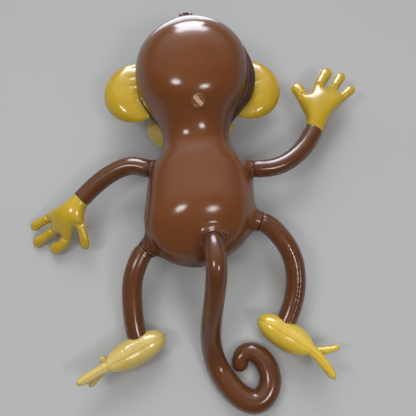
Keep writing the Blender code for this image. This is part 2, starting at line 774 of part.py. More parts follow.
def leg(side, root, where, material):
    """From the hip ring down to the middle of the foot, which then cuts it clear."""
    rows = root.first_rows()
    drop = 0.5 * FOOT_WIDTH - root.ring.z
    route = LEG_ROUTES[side]
    for i, (x, y) in enumerate(route, 1):
        share = ease(i / len(route))
        place = root.ring + Vector((x, y, 0.0)) * LEG_LENGTH[side]
        rows.append((place.x, place.y, root.ring.z + drop * share, root.radius))
    return tube(f"leg_{side}", rows, where, material)


def tail(root, where, material):
    """Off the rump, over in an arch, down to the floor and round in a curl with a blunt tip."""
    rows = root.first_rows()
    for x, y, height, girth in TAIL_ROUTE:
        radius = 0.5 * (TAIL_DIAMETER + girth * (TAIL_BEND_DIAMETER - TAIL_DIAMETER))
        place = root.ring + Vector((x, y, 0.0)) * TAIL_LENGTH
        rows.append((place.x, place.y, radius + height * (root.ring.z - radius), radius))
    return tube("tail", rows, where, material, blunt=True)


def ear(side, where, material):
    """A round pillow, its inner part cut away by the side of the head."""
    x, y = on_body(EAR_PLACES[side], HEAD_WIDTH)
    bm = pillow(round_outline(EAR_DIAMETER, EAR_DIAMETER, 24), EAR_THICKNESS, EAR_CELL)
    made = new_object(f"ear_{side}", mesh_from(bm, f"ear_{side}"), material, where)
    place = Matrix.Translation((x, y, HEAD_LIFT - EAR_LIFT_BELOW_SEAM))
    made.matrix_world = place @ Matrix.Rotation(math.copysign(EAR_DROOP, x), 4, "Y")
    return made


def muzzle(where, material):
    """An oval pillow under the face, pressed flat where it meets the floor."""
    x, y = on_body(MUZZLE_PLACE, HEAD_WIDTH)
    bm = pillow(round_outline(MUZZLE_WIDTH, MUZZLE_HEIGHT, 28), MUZZLE_THICKNESS, MUZZLE_CELL)
    frame = Matrix.Translation((x, y, 0.5 * MUZZLE_THICKNESS - FLOOR_PRESS))
    press_on_floor(bm, frame)
    made = new_object("muzzle", mesh_from(bm, "muzzle"), material, where)
    made.matrix_world = frame
    return made


def tuft(where, material):
    """A small tab of three lobes on the crown, for the hair."""
    lobes = [((0.0, s), (0.62 - 0.3 * abs(s), 1.5 * s), 0.33) for s in (0.38, 0.0, -0.38)]
    outline = fingered_outline(((-0.9, 0.25), (-0.3, 0.45)), lobes, ((-0.3, -0.45), (-0.9, -0.25)))
    placed = [(u * TUFT_WIDTH, v * TUFT_WIDTH) for u, v in outline]
    bm = pillow(placed, TUFT_THICKNESS, TUFT_CELL)
    made = new_object("hair_tuft", mesh_from(bm, "hair_tuft"), material, where)
    x, y = on_body(TUFT_PLACE, HEAD_WIDTH)
    made.matrix_world = standing_frame((x, y, HEAD_LIFT), (0.0, 1.0, 0.0), (0.0, 0.0, 1.0))
    return made


def valve(surface, where, material):
    """A ring on the back of the head, and the frame it lies in, for the stem."""
    x, y = on_body(VALVE_PLACE, HEAD_WIDTH)
    radius = 0.5 * VALVE_DIAMETER
    down = Vector((0.0, 0.0, -1.0))
    above = Vector((x, y, BODY_LENGTH))
    east, west, north, south = [
        surface.hit(above + Vector(off), down)
        for off in ((radius, 0.0, 0.0), (-radius, 0.0, 0.0), (0.0, radius, 0.0), (0.0, -radius, 0.0))
    ]
    normal = (east - west).cross(north - south).normalized()
    turn = normal.to_track_quat("Z", "Y").to_matrix().to_4x4()
    frame = Matrix.Translation(surface.hit(above, down)) @ turn
    bm = bmesh.new()
    points = [bm.verts.new((share * radius, 0.0, height)) for share, height in VALVE_PROFILE]
    for a, b in zip(points, points[1:]):
        bm.edges.new((a, b))
    everything = bm.verts[:] + bm.edges[:]
    bmesh.ops.spin(
        bm, geom=everything, cent=(0, 0, 0), axis=(0, 0, 1), angle=2.0 * math.pi, steps=16,
        use_merge=True, use_duplicate=False,
    )
    bmesh.ops.remove_doubles(bm, verts=bm.verts, dist=0.00001)
    made = new_object("valve", mesh_from(bm, "valve"), material, where)
    made.matrix_world = frame
    return made, frame


def valve_flap(frame, where, material):
    """The stem: a short flat strip with rounded ends, folded down over the ring."""
    bm = bmesh.new()
    bmesh.ops.create_cube(bm, size=1.0)
    bmesh.ops.scale(bm, vec=(VALVE_FLAP_LENGTH, VALVE_FLAP_WIDTH, VALVE_FLAP_THICKNESS), verts=bm.verts)
    upright = [e for e in bm.edges if abs((e.verts[0].co - e.verts[1].co).z) > 0.5 * VALVE_FLAP_THICKNESS]
    corner = 0.42 * VALVE_FLAP_WIDTH
    bmesh.ops.bevel(bm, geom=upright, offset=corner, segments=3, profile=0.5, affect="EDGES")
    made = new_object("valve_flap", mesh_from(bm, "valve_flap"), material, where)
    lift = Matrix.Translation((0.0, 0.0, VALVE_RING_HEIGHT + 0.2 * VALVE_FLAP_THICKNESS))
    made.matrix_world = frame @ Matrix.Rotation(VALVE_TURN, 4, "Z") @ lift
    hide(made)
    return made


def centre(pieces):
    """Hang every piece on one empty, set so that the floor under the middle of the toy is the origin."""
    bpy.context.view_layer.update()
    corners = []
    graph = bpy.context.evaluated_depsgraph_get()
    for item in pieces:
        seen = item.evaluated_get(graph)
        corners += [seen.matrix_world @ v.co for v in seen.data.vertices]
    middle = [0.5 * (max(c[i] for c in corners) + min(c[i] for c in corners)) for i in (0, 1)]
    stand = bpy.data.objects.new("monkey", None)
    bpy.context.scene.collection.objects.link(stand)
    for item in bpy.data.objects:
        if item.type == "MESH":
            item.parent = stand
    stand.location = (-middle[0], -middle[1], 0.0)
    print("middle of the toy in the drawing frame, m:", [round(c, 5) for c in middle])


def main():
    clear_scene()
    pieces = collection("inflatable_monkey")
    guides = collection("guides")
    brown = vinyl("brown vinyl", BROWN)
    yellow = vinyl("yellow vinyl", YELLOW)
    gold = vinyl("pale gold vinyl", PALE_GOLD)
    clear = vinyl("pale valve vinyl", PINKISH, 0.3)

    chamber = body(pieces, brown)
    bare = Surface(chamber)
    tail_root = limb_root("tail", bare, TAIL_ANCHOR, TAIL_DIRECTION, TAIL_DIAMETER, TAIL_REACH, TAIL_LIFT)
    roots = {"tail": tail_root}
    for side in ("left", "right"):
        for limb, anchors, directions, diameter, reach in (
            ("arm", ARM_ANCHORS, ARM_DIRECTIONS, ARM_DIAMETER, ARM_REACH),
            ("leg", LEG_ANCHORS, LEG_DIRECTIONS, LEG_DIAMETER, LEG_REACH),
        ):
            name = f"{limb}_{side}"
            roots[name] = limb_root(name, bare, anchors[side], directions[side], diameter, reach)
    for root in roots.values():
        boolean(chamber, root.stub(guides, brown), "UNION")
    clear_of_body = grown(chamber, WELD_GAP, guides)

    for side in ("left", "right"):
        _, wrist, ahead = arm(side, roots[f"arm_{side}"], pieces, brown)
        hand(side, wrist, ahead, pieces, yellow)
        lower, ankle, _ = leg(side, roots[f"leg_{side}"], pieces, brown)
        sole = foot(side, ankle, pieces, gold if side == "left" else yellow)
        boolean(lower, grown(sole, WELD_GAP, guides), "DIFFERENCE")
        boolean(ear(side, pieces, yellow), clear_of_body, "DIFFERENCE")
    tail(tail_root, pieces, brown)
    boolean(muzzle(pieces, gold), clear_of_body, "DIFFERENCE")
    boolean(tuft(pieces, brown), clear_of_body, "DIFFERENCE")
    ring, frame = valve(bare, pieces, clear)
    boolean(ring, valve_flap(frame, guides, clear), "UNION")
    boolean(ring, clear_of_body, "DIFFERENCE")
    centre(pieces.objects)


main()
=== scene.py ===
# %% [markdown]
# A blow-up monkey, dressed
#
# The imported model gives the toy's true size and pose. This script makes the fine skin that the eye sees:
# glossy vinyl chambers with welded seams, little folds where flat sheets are blown up round, a filling
# valve, and the light of a room. Each chamber is one piece, and it takes the place of one node of the
# frame. Only the valve is two pieces in the place of one node.

# %% The frame
import math

import bmesh
import bpy
import numpy as np
from mathutils import Matrix, Vector, geometry
from mathutils.bvhtree import BVHTree


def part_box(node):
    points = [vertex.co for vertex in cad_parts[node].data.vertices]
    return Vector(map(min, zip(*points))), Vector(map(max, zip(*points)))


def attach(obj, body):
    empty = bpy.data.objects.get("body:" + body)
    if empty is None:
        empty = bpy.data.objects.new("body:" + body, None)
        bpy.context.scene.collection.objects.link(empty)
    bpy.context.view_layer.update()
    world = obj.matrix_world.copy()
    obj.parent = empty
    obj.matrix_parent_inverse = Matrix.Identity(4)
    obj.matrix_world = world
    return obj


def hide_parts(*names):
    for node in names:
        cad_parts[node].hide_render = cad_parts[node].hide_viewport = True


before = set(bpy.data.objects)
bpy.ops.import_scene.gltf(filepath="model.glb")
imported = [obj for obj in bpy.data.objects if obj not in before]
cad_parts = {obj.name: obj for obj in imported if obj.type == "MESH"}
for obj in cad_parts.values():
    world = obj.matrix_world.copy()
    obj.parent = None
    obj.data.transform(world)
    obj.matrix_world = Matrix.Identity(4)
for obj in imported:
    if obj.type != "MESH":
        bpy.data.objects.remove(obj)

bpy.context.view_layer.update()
print("frame nodes:", len(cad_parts))

# %% [markdown]
# Where the drawing sits
#
# The toy was drawn with its body along +Y, from the rump at one end to the crown at the other, and the
# drawing was then moved so that the frame's origin lies under the middle of the whole toy. The muzzle is a
# plain oval with a known place in the drawing, so its box tells how far the drawing was moved. Everything
# below is drawn in the same way, and is moved by the same amount when its mesh is made.

# %% The drawing's main sizes
BODY_LENGTH = 0.380
HEAD_WIDTH = 0.172
NECK_WIDTH = 0.1006
TORSO_WIDTH = 0.172
HEAD_LIFT = 0.098
TORSO_LIFT = 0.064
RUMP_Y = -0.267 * BODY_LENGTH
MUZZLE_PLACE = (-0.050, 0.621)


def on_body(place, width):
    """A place given as shares of a width and of the body's length, in metres."""
    return place[0] * width, RUMP_Y + place[1] * BODY_LENGTH


def drawing_shift():
    """How far the drawing was moved, read off the muzzle's box."""
    low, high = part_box("muzzle")
    x, y = on_body(MUZZLE_PLACE, HEAD_WIDTH)
    return np.array([0.5 * (low.x + high.x) - x, 0.5 * (low.y + high.y) - y, 0.0])


SHIFT = drawing_shift()
print("the drawing is moved by, mm:", (1000 * SHIFT).round(2))

# %% [markdown]
# Smooth lines through few points
#
# Outlines, tube routes and body sections are all given by a few points that someone could read off the
# toy. A natural cubic spline runs through them, the way a thin springy batten would, and is then cut into
# even steps. Even steps matter on glossy vinyl, because uneven mesh cells show as wobbles in the
# reflections.

# %% Splines and even steps
SPLINE_STEPS = 60


def travelled(points, closed=False):
    """How far along a line of points each point lies."""
    points = np.vstack([points, points[:1]]) if closed else points
    return np.concatenate([[0.0], np.cumsum(np.linalg.norm(np.diff(points, axis=0), axis=1))])


def spline_through(points, count):
    """A natural cubic spline through rows of numbers, evenly spaced by their first three columns."""
    rows = np.array(points, float)
    knots = travelled(rows[:, :3])
    gaps = np.diff(knots)
    system = np.eye(len(rows))
    right = np.zeros_like(rows)
    for i in range(1, len(rows) - 1):
        system[i, i - 1:i + 2] = gaps[i - 1], 2.0 * (gaps[i - 1] + gaps[i]), gaps[i]
        right[i] = 6.0 * ((rows[i + 1] - rows[i]) / gaps[i] - (rows[i] - rows[i - 1]) / gaps[i - 1])
    bends = np.linalg.solve(system, right)
    t = np.linspace(0.0, knots[-1], SPLINE_STEPS * len(rows))
    i = np.clip(np.searchsorted(knots, t, side="right") - 1, 0, len(gaps) - 1)
    a = ((knots[i + 1] - t) / gaps[i])[:, None]
    b = 1.0 - a
    cube = ((a**3 - a) * bends[i] + (b**3 - b) * bends[i + 1]) * (gaps[i] ** 2)[:, None] / 6.0
    fine = a * rows[i] + b * rows[i + 1] + cube
    run = travelled(fine[:, :3])
    return at_run(fine, run, np.linspace(0.0, run[-1], count))


def at_run(rows, run, places):
    """Rows read off between their neighbours at the given distances along the run."""
    return np.stack([np.interp(places, run, rows[:, c]) for c in range(rows.shape[1])], axis=1)


def ease(x):
    """0 to 1 with soft ends."""
    x = np.clip(x, 0.0, 1.0)
    return x * x * (3.0 - 2.0 * x)


def unit(vectors):
    """Each vector at a length of 1."""
    return vectors / np.maximum(np.linalg.norm(vectors, axis=-1, keepdims=True), 1e-12)


hoop = spline_through([(0, 0, 0), (1, 1, 0), (2, 0, 0)], 50)
print("a hoop through 3 points is", round(float(travelled(hoop)[-1]), 2), "long")

# %% [markdown]
# Skins, fins and folds
#
# Every chamber is made of the same three things. The skin is a closed mesh. The fin is the narrow flat rim
# that is left outside the weld, where two sheets were sealed together. The folds are the small creases that
# run away from the weld: a flat sheet has more cloth at its edge than the blown-up shape has room for. They
# could be painted as bump, but their shadows and sparkles are what makes the vinyl look real from close
# by, so they are real points that move.

# %% A piece collected from several closed skins
def object_of(points, faces, name):
    """A mesh object in the frame's own place, with its faces turned outward."""
    mesh = bpy.data.meshes.new(name)
    mesh.from_pydata((points + SHIFT).tolist(), [], faces)
    bm = bmesh.new()
    bm.from_mesh(mesh)
    bmesh.ops.recalc_face_normals(bm, faces=bm.faces)
    bm.to_mesh(mesh)
    bm.free()
    made = bpy.data.objects.new(name, mesh)
    bpy.context.scene.collection.objects.link(made)
    return made


def drop(item):
    """Take an object out of the scene."""
    bpy.data.objects.remove(item, do_unlink=True)


def cut_mesh(item, cutters):
    """The item's mesh without whatever of it lies inside the cutters."""
    for cutter in cutters:
        change = item.modifiers.new("clear", "BOOLEAN")
        change.operation = "DIFFERENCE"
        change.solver = "EXACT"
        change.object = cutter
    bpy.context.view_layer.update()
    return bpy.data.meshes.new_from_object(item.evaluated_get(bpy.context.evaluated_depsgraph_get()))


class Skin:
    """The closed shells of one piece: the skin itself, its fins and its beads."""

    def __init__(self):
        self.shells = []

    def add(self, points, faces):
        """One more shell; nothing of it goes through the floor."""
        points = np.asarray(points, float).reshape(-1, 3)
        points[:, 2] = np.maximum(points[:, 2], 0.0)
        self.shells.append((points, faces))

    def add_rings(self, rings, closed=False):
        """A tube of rings, closed on itself or by a point in the middle of each end."""
        rows, columns = rings.shape[:2]
        index = np.arange(rows * columns).reshape(rows, columns)
        low = index if closed else index[:-1]
        high = np.roll(index, -1, axis=0) if closed else index[1:]
        quads = np.stack([low, np.roll(low, -1, axis=1), np.roll(high, -1, axis=1), high], axis=-1)
        faces = quads.reshape(-1, 4).tolist()
        points = rings.reshape(-1, 3)
        if not closed:
            ends = np.stack([rings[0].mean(0), rings[-1].mean(0)])
            for row, tip in ((index[0], len(points)), (index[-1][::-1], len(points) + 1)):
                faces += [(int(b), int(a), tip) for a, b in zip(row, np.roll(row, -1))]
            points = np.vstack([points, ends])
        self.add(points, faces)

    def object(self, name, clear_of=()):
        """One object of all the shells, each cut by itself, because a clean cut needs plain bodies."""
        bm = bmesh.new()
        for points, faces in self.shells:
            shell = object_of(points, faces, "shell")
            bm.from_mesh(cut_mesh(shell, clear_of) if clear_of else shell.data)
            drop(shell)
        mesh = bpy.data.meshes.new(name)
        bm.to_mesh(mesh)
        bm.free()
        mesh.shade_smooth()
        made = bpy.data.objects.new(name, mesh)
        bpy.context.scene.collection.objects.link(made)
        return made


sample = Skin()
sample.add_rings(np.zeros((3, 8, 3)))
print("a closed tube of 3 rings of 8 points has", len(sample.shells[0][1]), "faces")

# %% Fins along the welds
FIN_THICKNESS = 0.0005
FIN_SINK = 0.0012
# The fin is folded away up to this height over the floor, and stands free from there on
FIN_FLAT_HEIGHT = 0.0012
FIN_FREE_RISE = 0.0025
# The second, weaker wave that keeps the first from looking regular
SECOND_WAVE = 0.6
SECOND_PITCH = 1.73
# Where the fin starts to thin, as a share of its width and of its swing, and its thickness there and at
# the tip
EDGE_PLACE, EDGE_SWING = 0.88, 0.8
EDGE_HALF, TIP_HALF = 0.9, 0.3


def fin(skin, path, out, width, wave, pitch, closed=False):
    """A thin flat rim that stands off a weld: path on the weld, out away from it."""
    if closed:
        ahead = unit(np.roll(path, -1, axis=0) - np.roll(path, 1, axis=0))
    else:
        ahead = unit(np.gradient(path, axis=0))
    out = unit(out - (out * ahead).sum(1)[:, None] * ahead)
    side = np.cross(ahead, out)
    turns = 2.0 * math.pi * travelled(path)
    swing = wave * (np.sin(turns / pitch) + SECOND_WAVE * np.sin(turns / (SECOND_PITCH * pitch)))
    half = 0.5 * FIN_THICKNESS * side
    free = ease((path[:, 2] - FIN_FLAT_HEIGHT) / FIN_FREE_RISE)
    width = (np.broadcast_to(np.asarray(width, float), len(path)) * free)[:, None]
    swing = (swing * free)[:, None]
    foot = path - out * FIN_SINK
    edge = path + EDGE_PLACE * out * width + EDGE_SWING * side * swing
    tip = path + out * width + side * swing
    upper = [foot + half, edge + EDGE_HALF * half, tip + TIP_HALF * half]
    lower = [tip - TIP_HALF * half, edge - EDGE_HALF * half, foot - half]
    skin.add_rings(np.stack(upper + lower, axis=1), closed)


print("a fin is", 1000 * FIN_THICKNESS, "mm thick and starts", 1000 * FIN_SINK, "mm inside its weld")

# %% Folds that run away from a weld
# The smallest and largest of each, as shares of the pitch, the depth or the reach
FOLD_GAPS = (0.55, 1.45)
FOLD_DEPTHS = (0.25, 1.0)
FOLD_WIDTHS = (0.16, 0.30)
FOLD_REACHES = (0.5, 1.5)
FOLD_LEANS = (-0.5, 0.5)


class Folds:
    """Small creases beside a weld, each with its own place, depth, width, length and lean."""

    def __init__(self, length, pitch, seed, wraps=False):
        draw = np.random.default_rng(seed)
        gaps = pitch * draw.uniform(*FOLD_GAPS, int(1.8 * length / pitch) + 3)
        places = np.cumsum(gaps)
        count = int(np.searchsorted(places, length))
        self.places = places[:count]
        self.depths = draw.uniform(*FOLD_DEPTHS, len(gaps))[:count]
        self.widths = draw.uniform(*FOLD_WIDTHS, len(gaps))[:count] * pitch
        self.reaches = draw.uniform(*FOLD_REACHES, len(gaps))[:count]
        self.leans = draw.uniform(*FOLD_LEANS, len(gaps))[:count]
        self.length = length if wraps else None

    def at(self, along, away, reach):
        """How deep the folds are at each place, from 0 to about 1."""
        along = np.asarray(along, float)[..., None]
        away = np.asarray(away, float)[..., None]
        offset = along - self.places - self.leans * away
        if self.length:
            offset = (offset + 0.5 * self.length) % self.length - 0.5 * self.length
        fade = np.exp(-((away / (reach * self.reaches)) ** 2))
        return (self.depths * np.exp(-((offset / self.widths) ** 2)) * fade).sum(-1)


print("folds on 100 mm of weld, 5 mm apart or so:", len(Folds(0.100, 0.005, seed=1).places))

# %% [markdown]
# The big chamber
#
# Head, neck and torso are one long bag of two panels, a back panel and a front panel, welded along both
# sides. It could be carved from a ball with a sculpting brush, but a ladder of sections keeps the true
# widths: each row of the table is one section, and the spline fills in the rest. The front panel has fuller
# cheeks, which show from above as a crescent beside the ear; the material paints it dark as painted shade.

# %% Sections of the big chamber
CHEEK_BULGE = 0.017
CHEEK_SHAPE = 0.75
TORSO_ROLL = math.radians(10)
HEAD_ROLL = math.radians(-10)
# The rump's lower end is skewed: how much, and where along the body that starts and how soon it is full
RUMP_SKEW = 0.11
SKEW_START = 0.32
SKEW_RUN = 0.25
NECK_LIFT_SHARE = 0.47
BODY_RINGS = 330
BODY_SEGMENTS = 270
BODY_SPLINE_STEPS = 1500
SEAM_CROWDING = 0.2

# Share of the body length, half width, seam height, back and front depth, cheek, sideways place
HEAD_ROWS = (
    (1.000, 0.00, 0.002, 0.86, 0.76, 0.0, 0.0),
    (0.981, 0.420, 0.002, 0.86, 0.76, 0.0, 0.0),
    (0.931, 0.735, 0.002, 0.86, 0.76, 0.0, 0.0),
    (0.863, 0.945, 0.001, 0.86, 0.76, 0.3, -0.003),
    (0.779, 1.010, 0.000, 0.86, 0.76, 0.9, -0.006),
    (0.716, 0.985, -0.001, 0.86, 0.75, 1.0, -0.006),
    (0.658, 0.893, -0.004, 0.87, 0.75, 0.9, -0.004),
    (0.610, 0.752, -0.008, 0.88, 0.78, 0.5, 0.0),
)
NECK_ROWS = (
    (0.563, 1.085, 0.005, 0.87, 0.84, 0.1, 0.0),
    (0.511, 1.00, 0.000, 0.87, 0.90, 0.0, 0.0),
    (0.474, 1.055, -0.004, 0.86, 0.88, 0.0, 0.005),
)
TORSO_ROWS = (
    (0.432, 0.750, 0.007, 0.82, 0.84, 0.0, 0.016),
    (0.389, 0.883, 0.003, 0.78, 0.80, 0.0, 0.021),
    (0.334, 0.945, 0.001, 0.76, 0.785, 0.0, 0.019),
    (0.255, 0.980, 0.000, 0.75, 0.78, 0.0, 0.010),
    (0.184, 1.00, 0.000, 0.745, 0.775, 0.0, 0.0),
    (0.115, 0.925, 0.000, 0.74, 0.77, 0.0, 0.0),
    (0.057, 0.700, -0.001, 0.74, 0.77, 0.0, 0.0),
    (0.017, 0.390, -0.002, 0.74, 0.77, 0.0, 0.0),
    (0.000, 0.00, -0.002, 0.74, 0.77, 0.0, 0.0),
)


def body_rows():
    """Rows of y, half width, seam height, back, front, cheek, sideways place and roll, from crown to rump.

    One mirrored row is set beyond each end, so that the outline runs round the end and doesn't stop at it.
    """
    rows = []
    neck_lift = TORSO_LIFT + NECK_LIFT_SHARE * (HEAD_LIFT - TORSO_LIFT)
    for source, width, lift, roll in (
        (HEAD_ROWS, HEAD_WIDTH, HEAD_LIFT, HEAD_ROLL),
        (NECK_ROWS, NECK_WIDTH, neck_lift, 0.5 * (HEAD_ROLL + TORSO_ROLL)),
        (TORSO_ROWS, TORSO_WIDTH, TORSO_LIFT, TORSO_ROLL),
    ):
        for share, half, raised, back, front, cheek, aside in source:
            y = RUMP_Y + share * BODY_LENGTH
            rows.append((y, 0.5 * width * half, lift + raised, back, front, cheek, aside * width, roll))
    first, last = list(rows[1]), list(rows[-2])
    first[1] *= -1.0
    last[1] *= -1.0
    return [first] + rows + [last]


def ring_angles(count):
    """Angles round a ring, from the right seam over the back; closer together near the two seams."""
    even = 2.0 * math.pi * np.arange(count) / count
    return even - SEAM_CROWDING * np.sin(2.0 * even)


def body_grid(ring_count, segment_count):
    """The bare chamber as a grid of points, ring by ring from the crown, without its seams."""
    fine = spline_through(body_rows(), BODY_SPLINE_STEPS)
    kept = fine[int(np.argmax(fine[:, 0])):int(np.argmin(fine[:, 0])) + 1]
    run = travelled(kept[:, :2])
    rows = at_run(kept, run, np.linspace(0.0, run[-1], ring_count + 2))[1:-1]
    y, half, lift, back, front, cheek, aside, roll = [c[:, None] for c in rows.T]
    angle = ring_angles(segment_count)[None, :]
    side, rise = np.cos(angle), np.sin(angle)
    below = np.arcsin(np.maximum(0.0, -rise)) / (0.5 * math.pi)
    bulge = CHEEK_BULGE * cheek * np.sin(math.pi * below**CHEEK_SHAPE)
    x = half * side + np.sign(side) * bulge
    z = half * rise * np.where(rise > 0.0, back, front)
    skew = RUMP_SKEW * ease((RUMP_Y + SKEW_START * BODY_LENGTH - y) / (SKEW_RUN * BODY_LENGTH))
    turned_x = x * np.cos(roll) + z * np.sin(roll)
    turned_z = lift + z * np.cos(roll) - x * np.sin(roll)
    return np.stack([aside + turned_x, y + skew * turned_x, np.maximum(turned_z, 0.0)], axis=-1)


def grid_normals(grid):
    """Outward directions over a grid of rings that run from +Y to -Y."""
    down = np.gradient(grid, axis=0)
    around = np.roll(grid, -1, axis=1) - np.roll(grid, 1, axis=1)
    normals = unit(np.cross(down, around))
    middle = grid.mean(axis=1, keepdims=True)
    return normals * np.sign(np.median(((grid - middle) * normals).sum(-1)))


def tree_of(grid):
    """A search tree over the faces of a grid of rings."""
    skin = Skin()
    skin.add_rings(grid)
    points, faces = skin.shells[0]
    return BVHTree.FromPolygons(points.tolist(), faces)


bare = body_grid(BODY_RINGS, BODY_SEGMENTS)
bare_tree = tree_of(bare)
print("big chamber:", bare.shape, "lowest and highest, mm:", (1000 * bare[..., 2].min()).round(1),
      (1000 * bare[..., 2].max()).round(1))

# %% [markdown]
# How the back really stands
#
# The frame's sections are plain: their height follows their width. The real toy's highlights sit a little
# differently, so its back is not quite so plain. The head is flatter on top and leans to one side, its lower
# end is fuller, and the small of the back stands higher than the rump. A few soft swells of some millimetres
# do it.

# %% Soft swells of the back panel
# Share of the body length, rise, lean to the right, reach along the body
BACK_SWELLS = (
    (0.840, -0.0014, -0.0014, 0.100),
    (0.720, -0.0056, -0.0048, 0.100),
    (0.600, 0.0053, -0.0026, 0.100),
    (0.462, 0.0018, -0.0018, 0.045),
    (0.360, 0.0005, -0.0003, 0.100),
    (0.230, 0.0066, 0.0029, 0.100),
    (0.100, -0.0067, 0.0038, 0.100),
)


def settled(grid):
    """The grid with its back panel swelled and leaned; the seams and the front stay."""
    angle = ring_angles(grid.shape[1])
    up, side = np.maximum(0.0, np.sin(angle)), np.cos(angle)
    share = (grid[..., 1].mean(axis=1) - RUMP_Y) / BODY_LENGTH
    grid = grid.copy()
    for place, rise, lean, reach in BACK_SWELLS:
        near = np.exp(-(((share - place) / reach) ** 2))
        grid[..., 2] += near[:, None] * (rise + lean * side) * up
    return grid


settled_body = settled(bare)
settled_tree = tree_of(settled_body)
print("the back stands up to, mm:", (1000 * settled_body[..., 2].max()).round(1))

# %% [markdown]
# Where the limbs are welded on
#
# Each limb is a tube welded to a ring on the big chamber. The blown-up wall is drawn out towards the ring
# and flares back into the body, like a short trumpet. Joining a separate trumpet would leave a sharp line
# all round, so the chamber's own points are drawn out instead: a point near the limb's axis slides onto a
# quarter of an ellipse between the ring and the bare surface. A little smoothing hides where the flare
# begins.

# %% Weld rings
ARM_DIAMETER = 0.0275
LEG_DIAMETER = 0.0305
TAIL_DIAMETER = 0.029
STUB_FLARE = 0.014
# The tail's trumpet is shorter, and its ring is looked for from high over the rump
TAIL_FLARE = 0.0045
TAIL_LIFT = 1.83 * TORSO_LIFT
# Points nearer to the axis than this share of the ring's radius close the ring, a little below its edge
RING_SHARE = 0.75
RING_RECESS = 0.0004
# How far below and above the ring points are drawn out, in radii of the ring
DRAWN_BELOW = 1.5
DRAWN_ABOVE = 0.5
# The flare's outer edge is smoothed: how wide, how deep below the ring, how strongly and how often
RIM_SHARE = 0.57
RIM_DEPTH = 0.02
RIM_SMOOTHING = 0.8
RIM_ROUNDS = 45


class Root:
    """A weld ring: its middle, the way the limb leaves it, its radius and how far it stands off the body."""

    def __init__(self, anchor, direction, diameter, reach, lift=TORSO_LIFT, flare=STUB_FLARE):
        self.direction = Vector(direction).normalized()
        self.radius = 0.5 * diameter
        self.reach = reach
        self.flare = flare
        start = Vector((*on_body(anchor, TORSO_WIDTH), lift)) + self.direction * BODY_LENGTH
        self.foot = bare_tree.ray_cast(start, -self.direction)[0]
        self.ring = self.foot + self.direction * reach

    def drawn_out(self, grid):
        """The grid drawn out to the ring near its axis, and how far each point is beyond the flare's edge."""
        ring, direction = np.array(self.ring), np.array(self.direction)
        offset = grid - ring
        depth = -(offset @ direction)
        across = offset + depth[..., None] * direction
        radial = np.linalg.norm(across, axis=-1)
        outer = self.radius + self.flare
        deepest = self.reach + DRAWN_BELOW * self.radius
        taken = (radial < outer) & (depth < deepest) & (depth > -DRAWN_ABOVE * self.radius)
        moved = grid.copy()
        inner = RING_SHARE * self.radius
        for i, j in zip(*np.nonzero(taken)):
            out = across[i, j] / max(radial[i, j], 1e-9)
            share = (radial[i, j] - inner) / (outer - inner)
            if share <= 0.0:
                moved[i, j] = ring + out * radial[i, j] / RING_SHARE - RING_RECESS * direction
                continue
            met = settled_tree.ray_cast(Vector(ring + out * outer), -self.direction)[0]
            fall = deepest if met is None else min(deepest, (self.ring - met).dot(self.direction))
            turn = 0.5 * math.pi * share
            wide = self.radius + self.flare * (1.0 - math.cos(turn))
            moved[i, j] = ring + out * wide - direction * fall * math.sin(turn)
        beyond = np.where((depth < deepest + RIM_DEPTH) & (depth > -self.radius), radial - outer, 1.0)
        return moved, beyond


ROOTS = {
    "arm_left": Root((-0.423, 0.408), (-0.96, 0.28, -0.05), ARM_DIAMETER, 0.006),
    "arm_right": Root((0.504, 0.384), (1.0, 0.0, -0.05), ARM_DIAMETER, 0.006),
    "leg_left": Root((-0.504, 0.070), (-0.77, -0.63, -0.10), LEG_DIAMETER, 0.008),
    "leg_right": Root((0.587, 0.154), (0.93, -0.37, -0.08), LEG_DIAMETER, 0.008),
    "tail": Root((0.095, 0.089), (0.03, -0.62, 0.78), TAIL_DIAMETER, 0.006, TAIL_LIFT, TAIL_FLARE),
}
for name, root in ROOTS.items():
    print("weld ring of", name, "at, mm:", [round(1000 * c, 1) for c in root.ring])


# %% Draw the chamber out to its rings
def smoothed(grid, weight, times):
    """Each point eased towards the middle of its four neighbours, as strongly as its weight says."""
    for _ in range(times):
        ends = np.concatenate([grid[:1], grid, grid[-1:]])
        middle = 0.25 * (ends[:-2] + ends[2:] + np.roll(grid, 1, axis=1) + np.roll(grid, -1, axis=1))
        grid = grid + weight[..., None] * (middle - grid)
    return grid


chamber = settled_body
flare_rim = np.zeros(bare.shape[:2])
for root in ROOTS.values():
    chamber, beyond = root.drawn_out(chamber)
    flare_rim = np.maximum(flare_rim, np.exp(-((beyond / (RIM_SHARE * root.flare)) ** 2)))
chamber = smoothed(chamber, RIM_SMOOTHING * flare_rim, RIM_ROUNDS)
drawn = np.linalg.norm(chamber - settled_body, axis=-1)
print("the rings draw the chamber out by up to, mm:", round(1000 * float(drawn.max()), 1))

# %% [markdown]
# The side seams
#
# The two panels meet along both sides. The weld pulls the surface in to a shallow groove, a narrow fin
# stands off it, and small folds run away from it, most where the outline bulges out: round the cheeks, the
# crown and the rump. Along the hollow of the neck the sheets are stretched, so there are hardly any.

# %% Groove, folds and fins of the big chamber
SEAM_GROOVE = 0.0012
GROOVE_WIDTH = 0.0022
SEAM_SEEDS = (11, 12)
BODY_FIN = 0.0013
BODY_FIN_WAVE = 0.0003
BODY_FIN_PITCH = 0.0071
BODY_FOLD_DEPTH = 0.0013
BODY_FOLD_PITCH = 0.0056
BODY_FOLD_REACH = 0.0075
# Folds are left out further from the weld than this many reaches, where they have faded away
FOLD_LIMIT = 3.0
# Where along the body the seam is folded and over what length, and how strongly at each end of the body
CHEEK_FOLDS = (0.70, 0.11)
CROWN_FOLDS = (0.86, 0.10)
RUMP_FOLDS = (0.16, 0.10)
CROWN_STRENGTH = 0.7
RUMP_STRENGTH = 0.8
LEAST_FOLDS = 0.12


def hump(share, place, reach):
    """1 at a place, fading to 0 on both sides of it."""
    return np.exp(-(((share - place) / reach) ** 2))


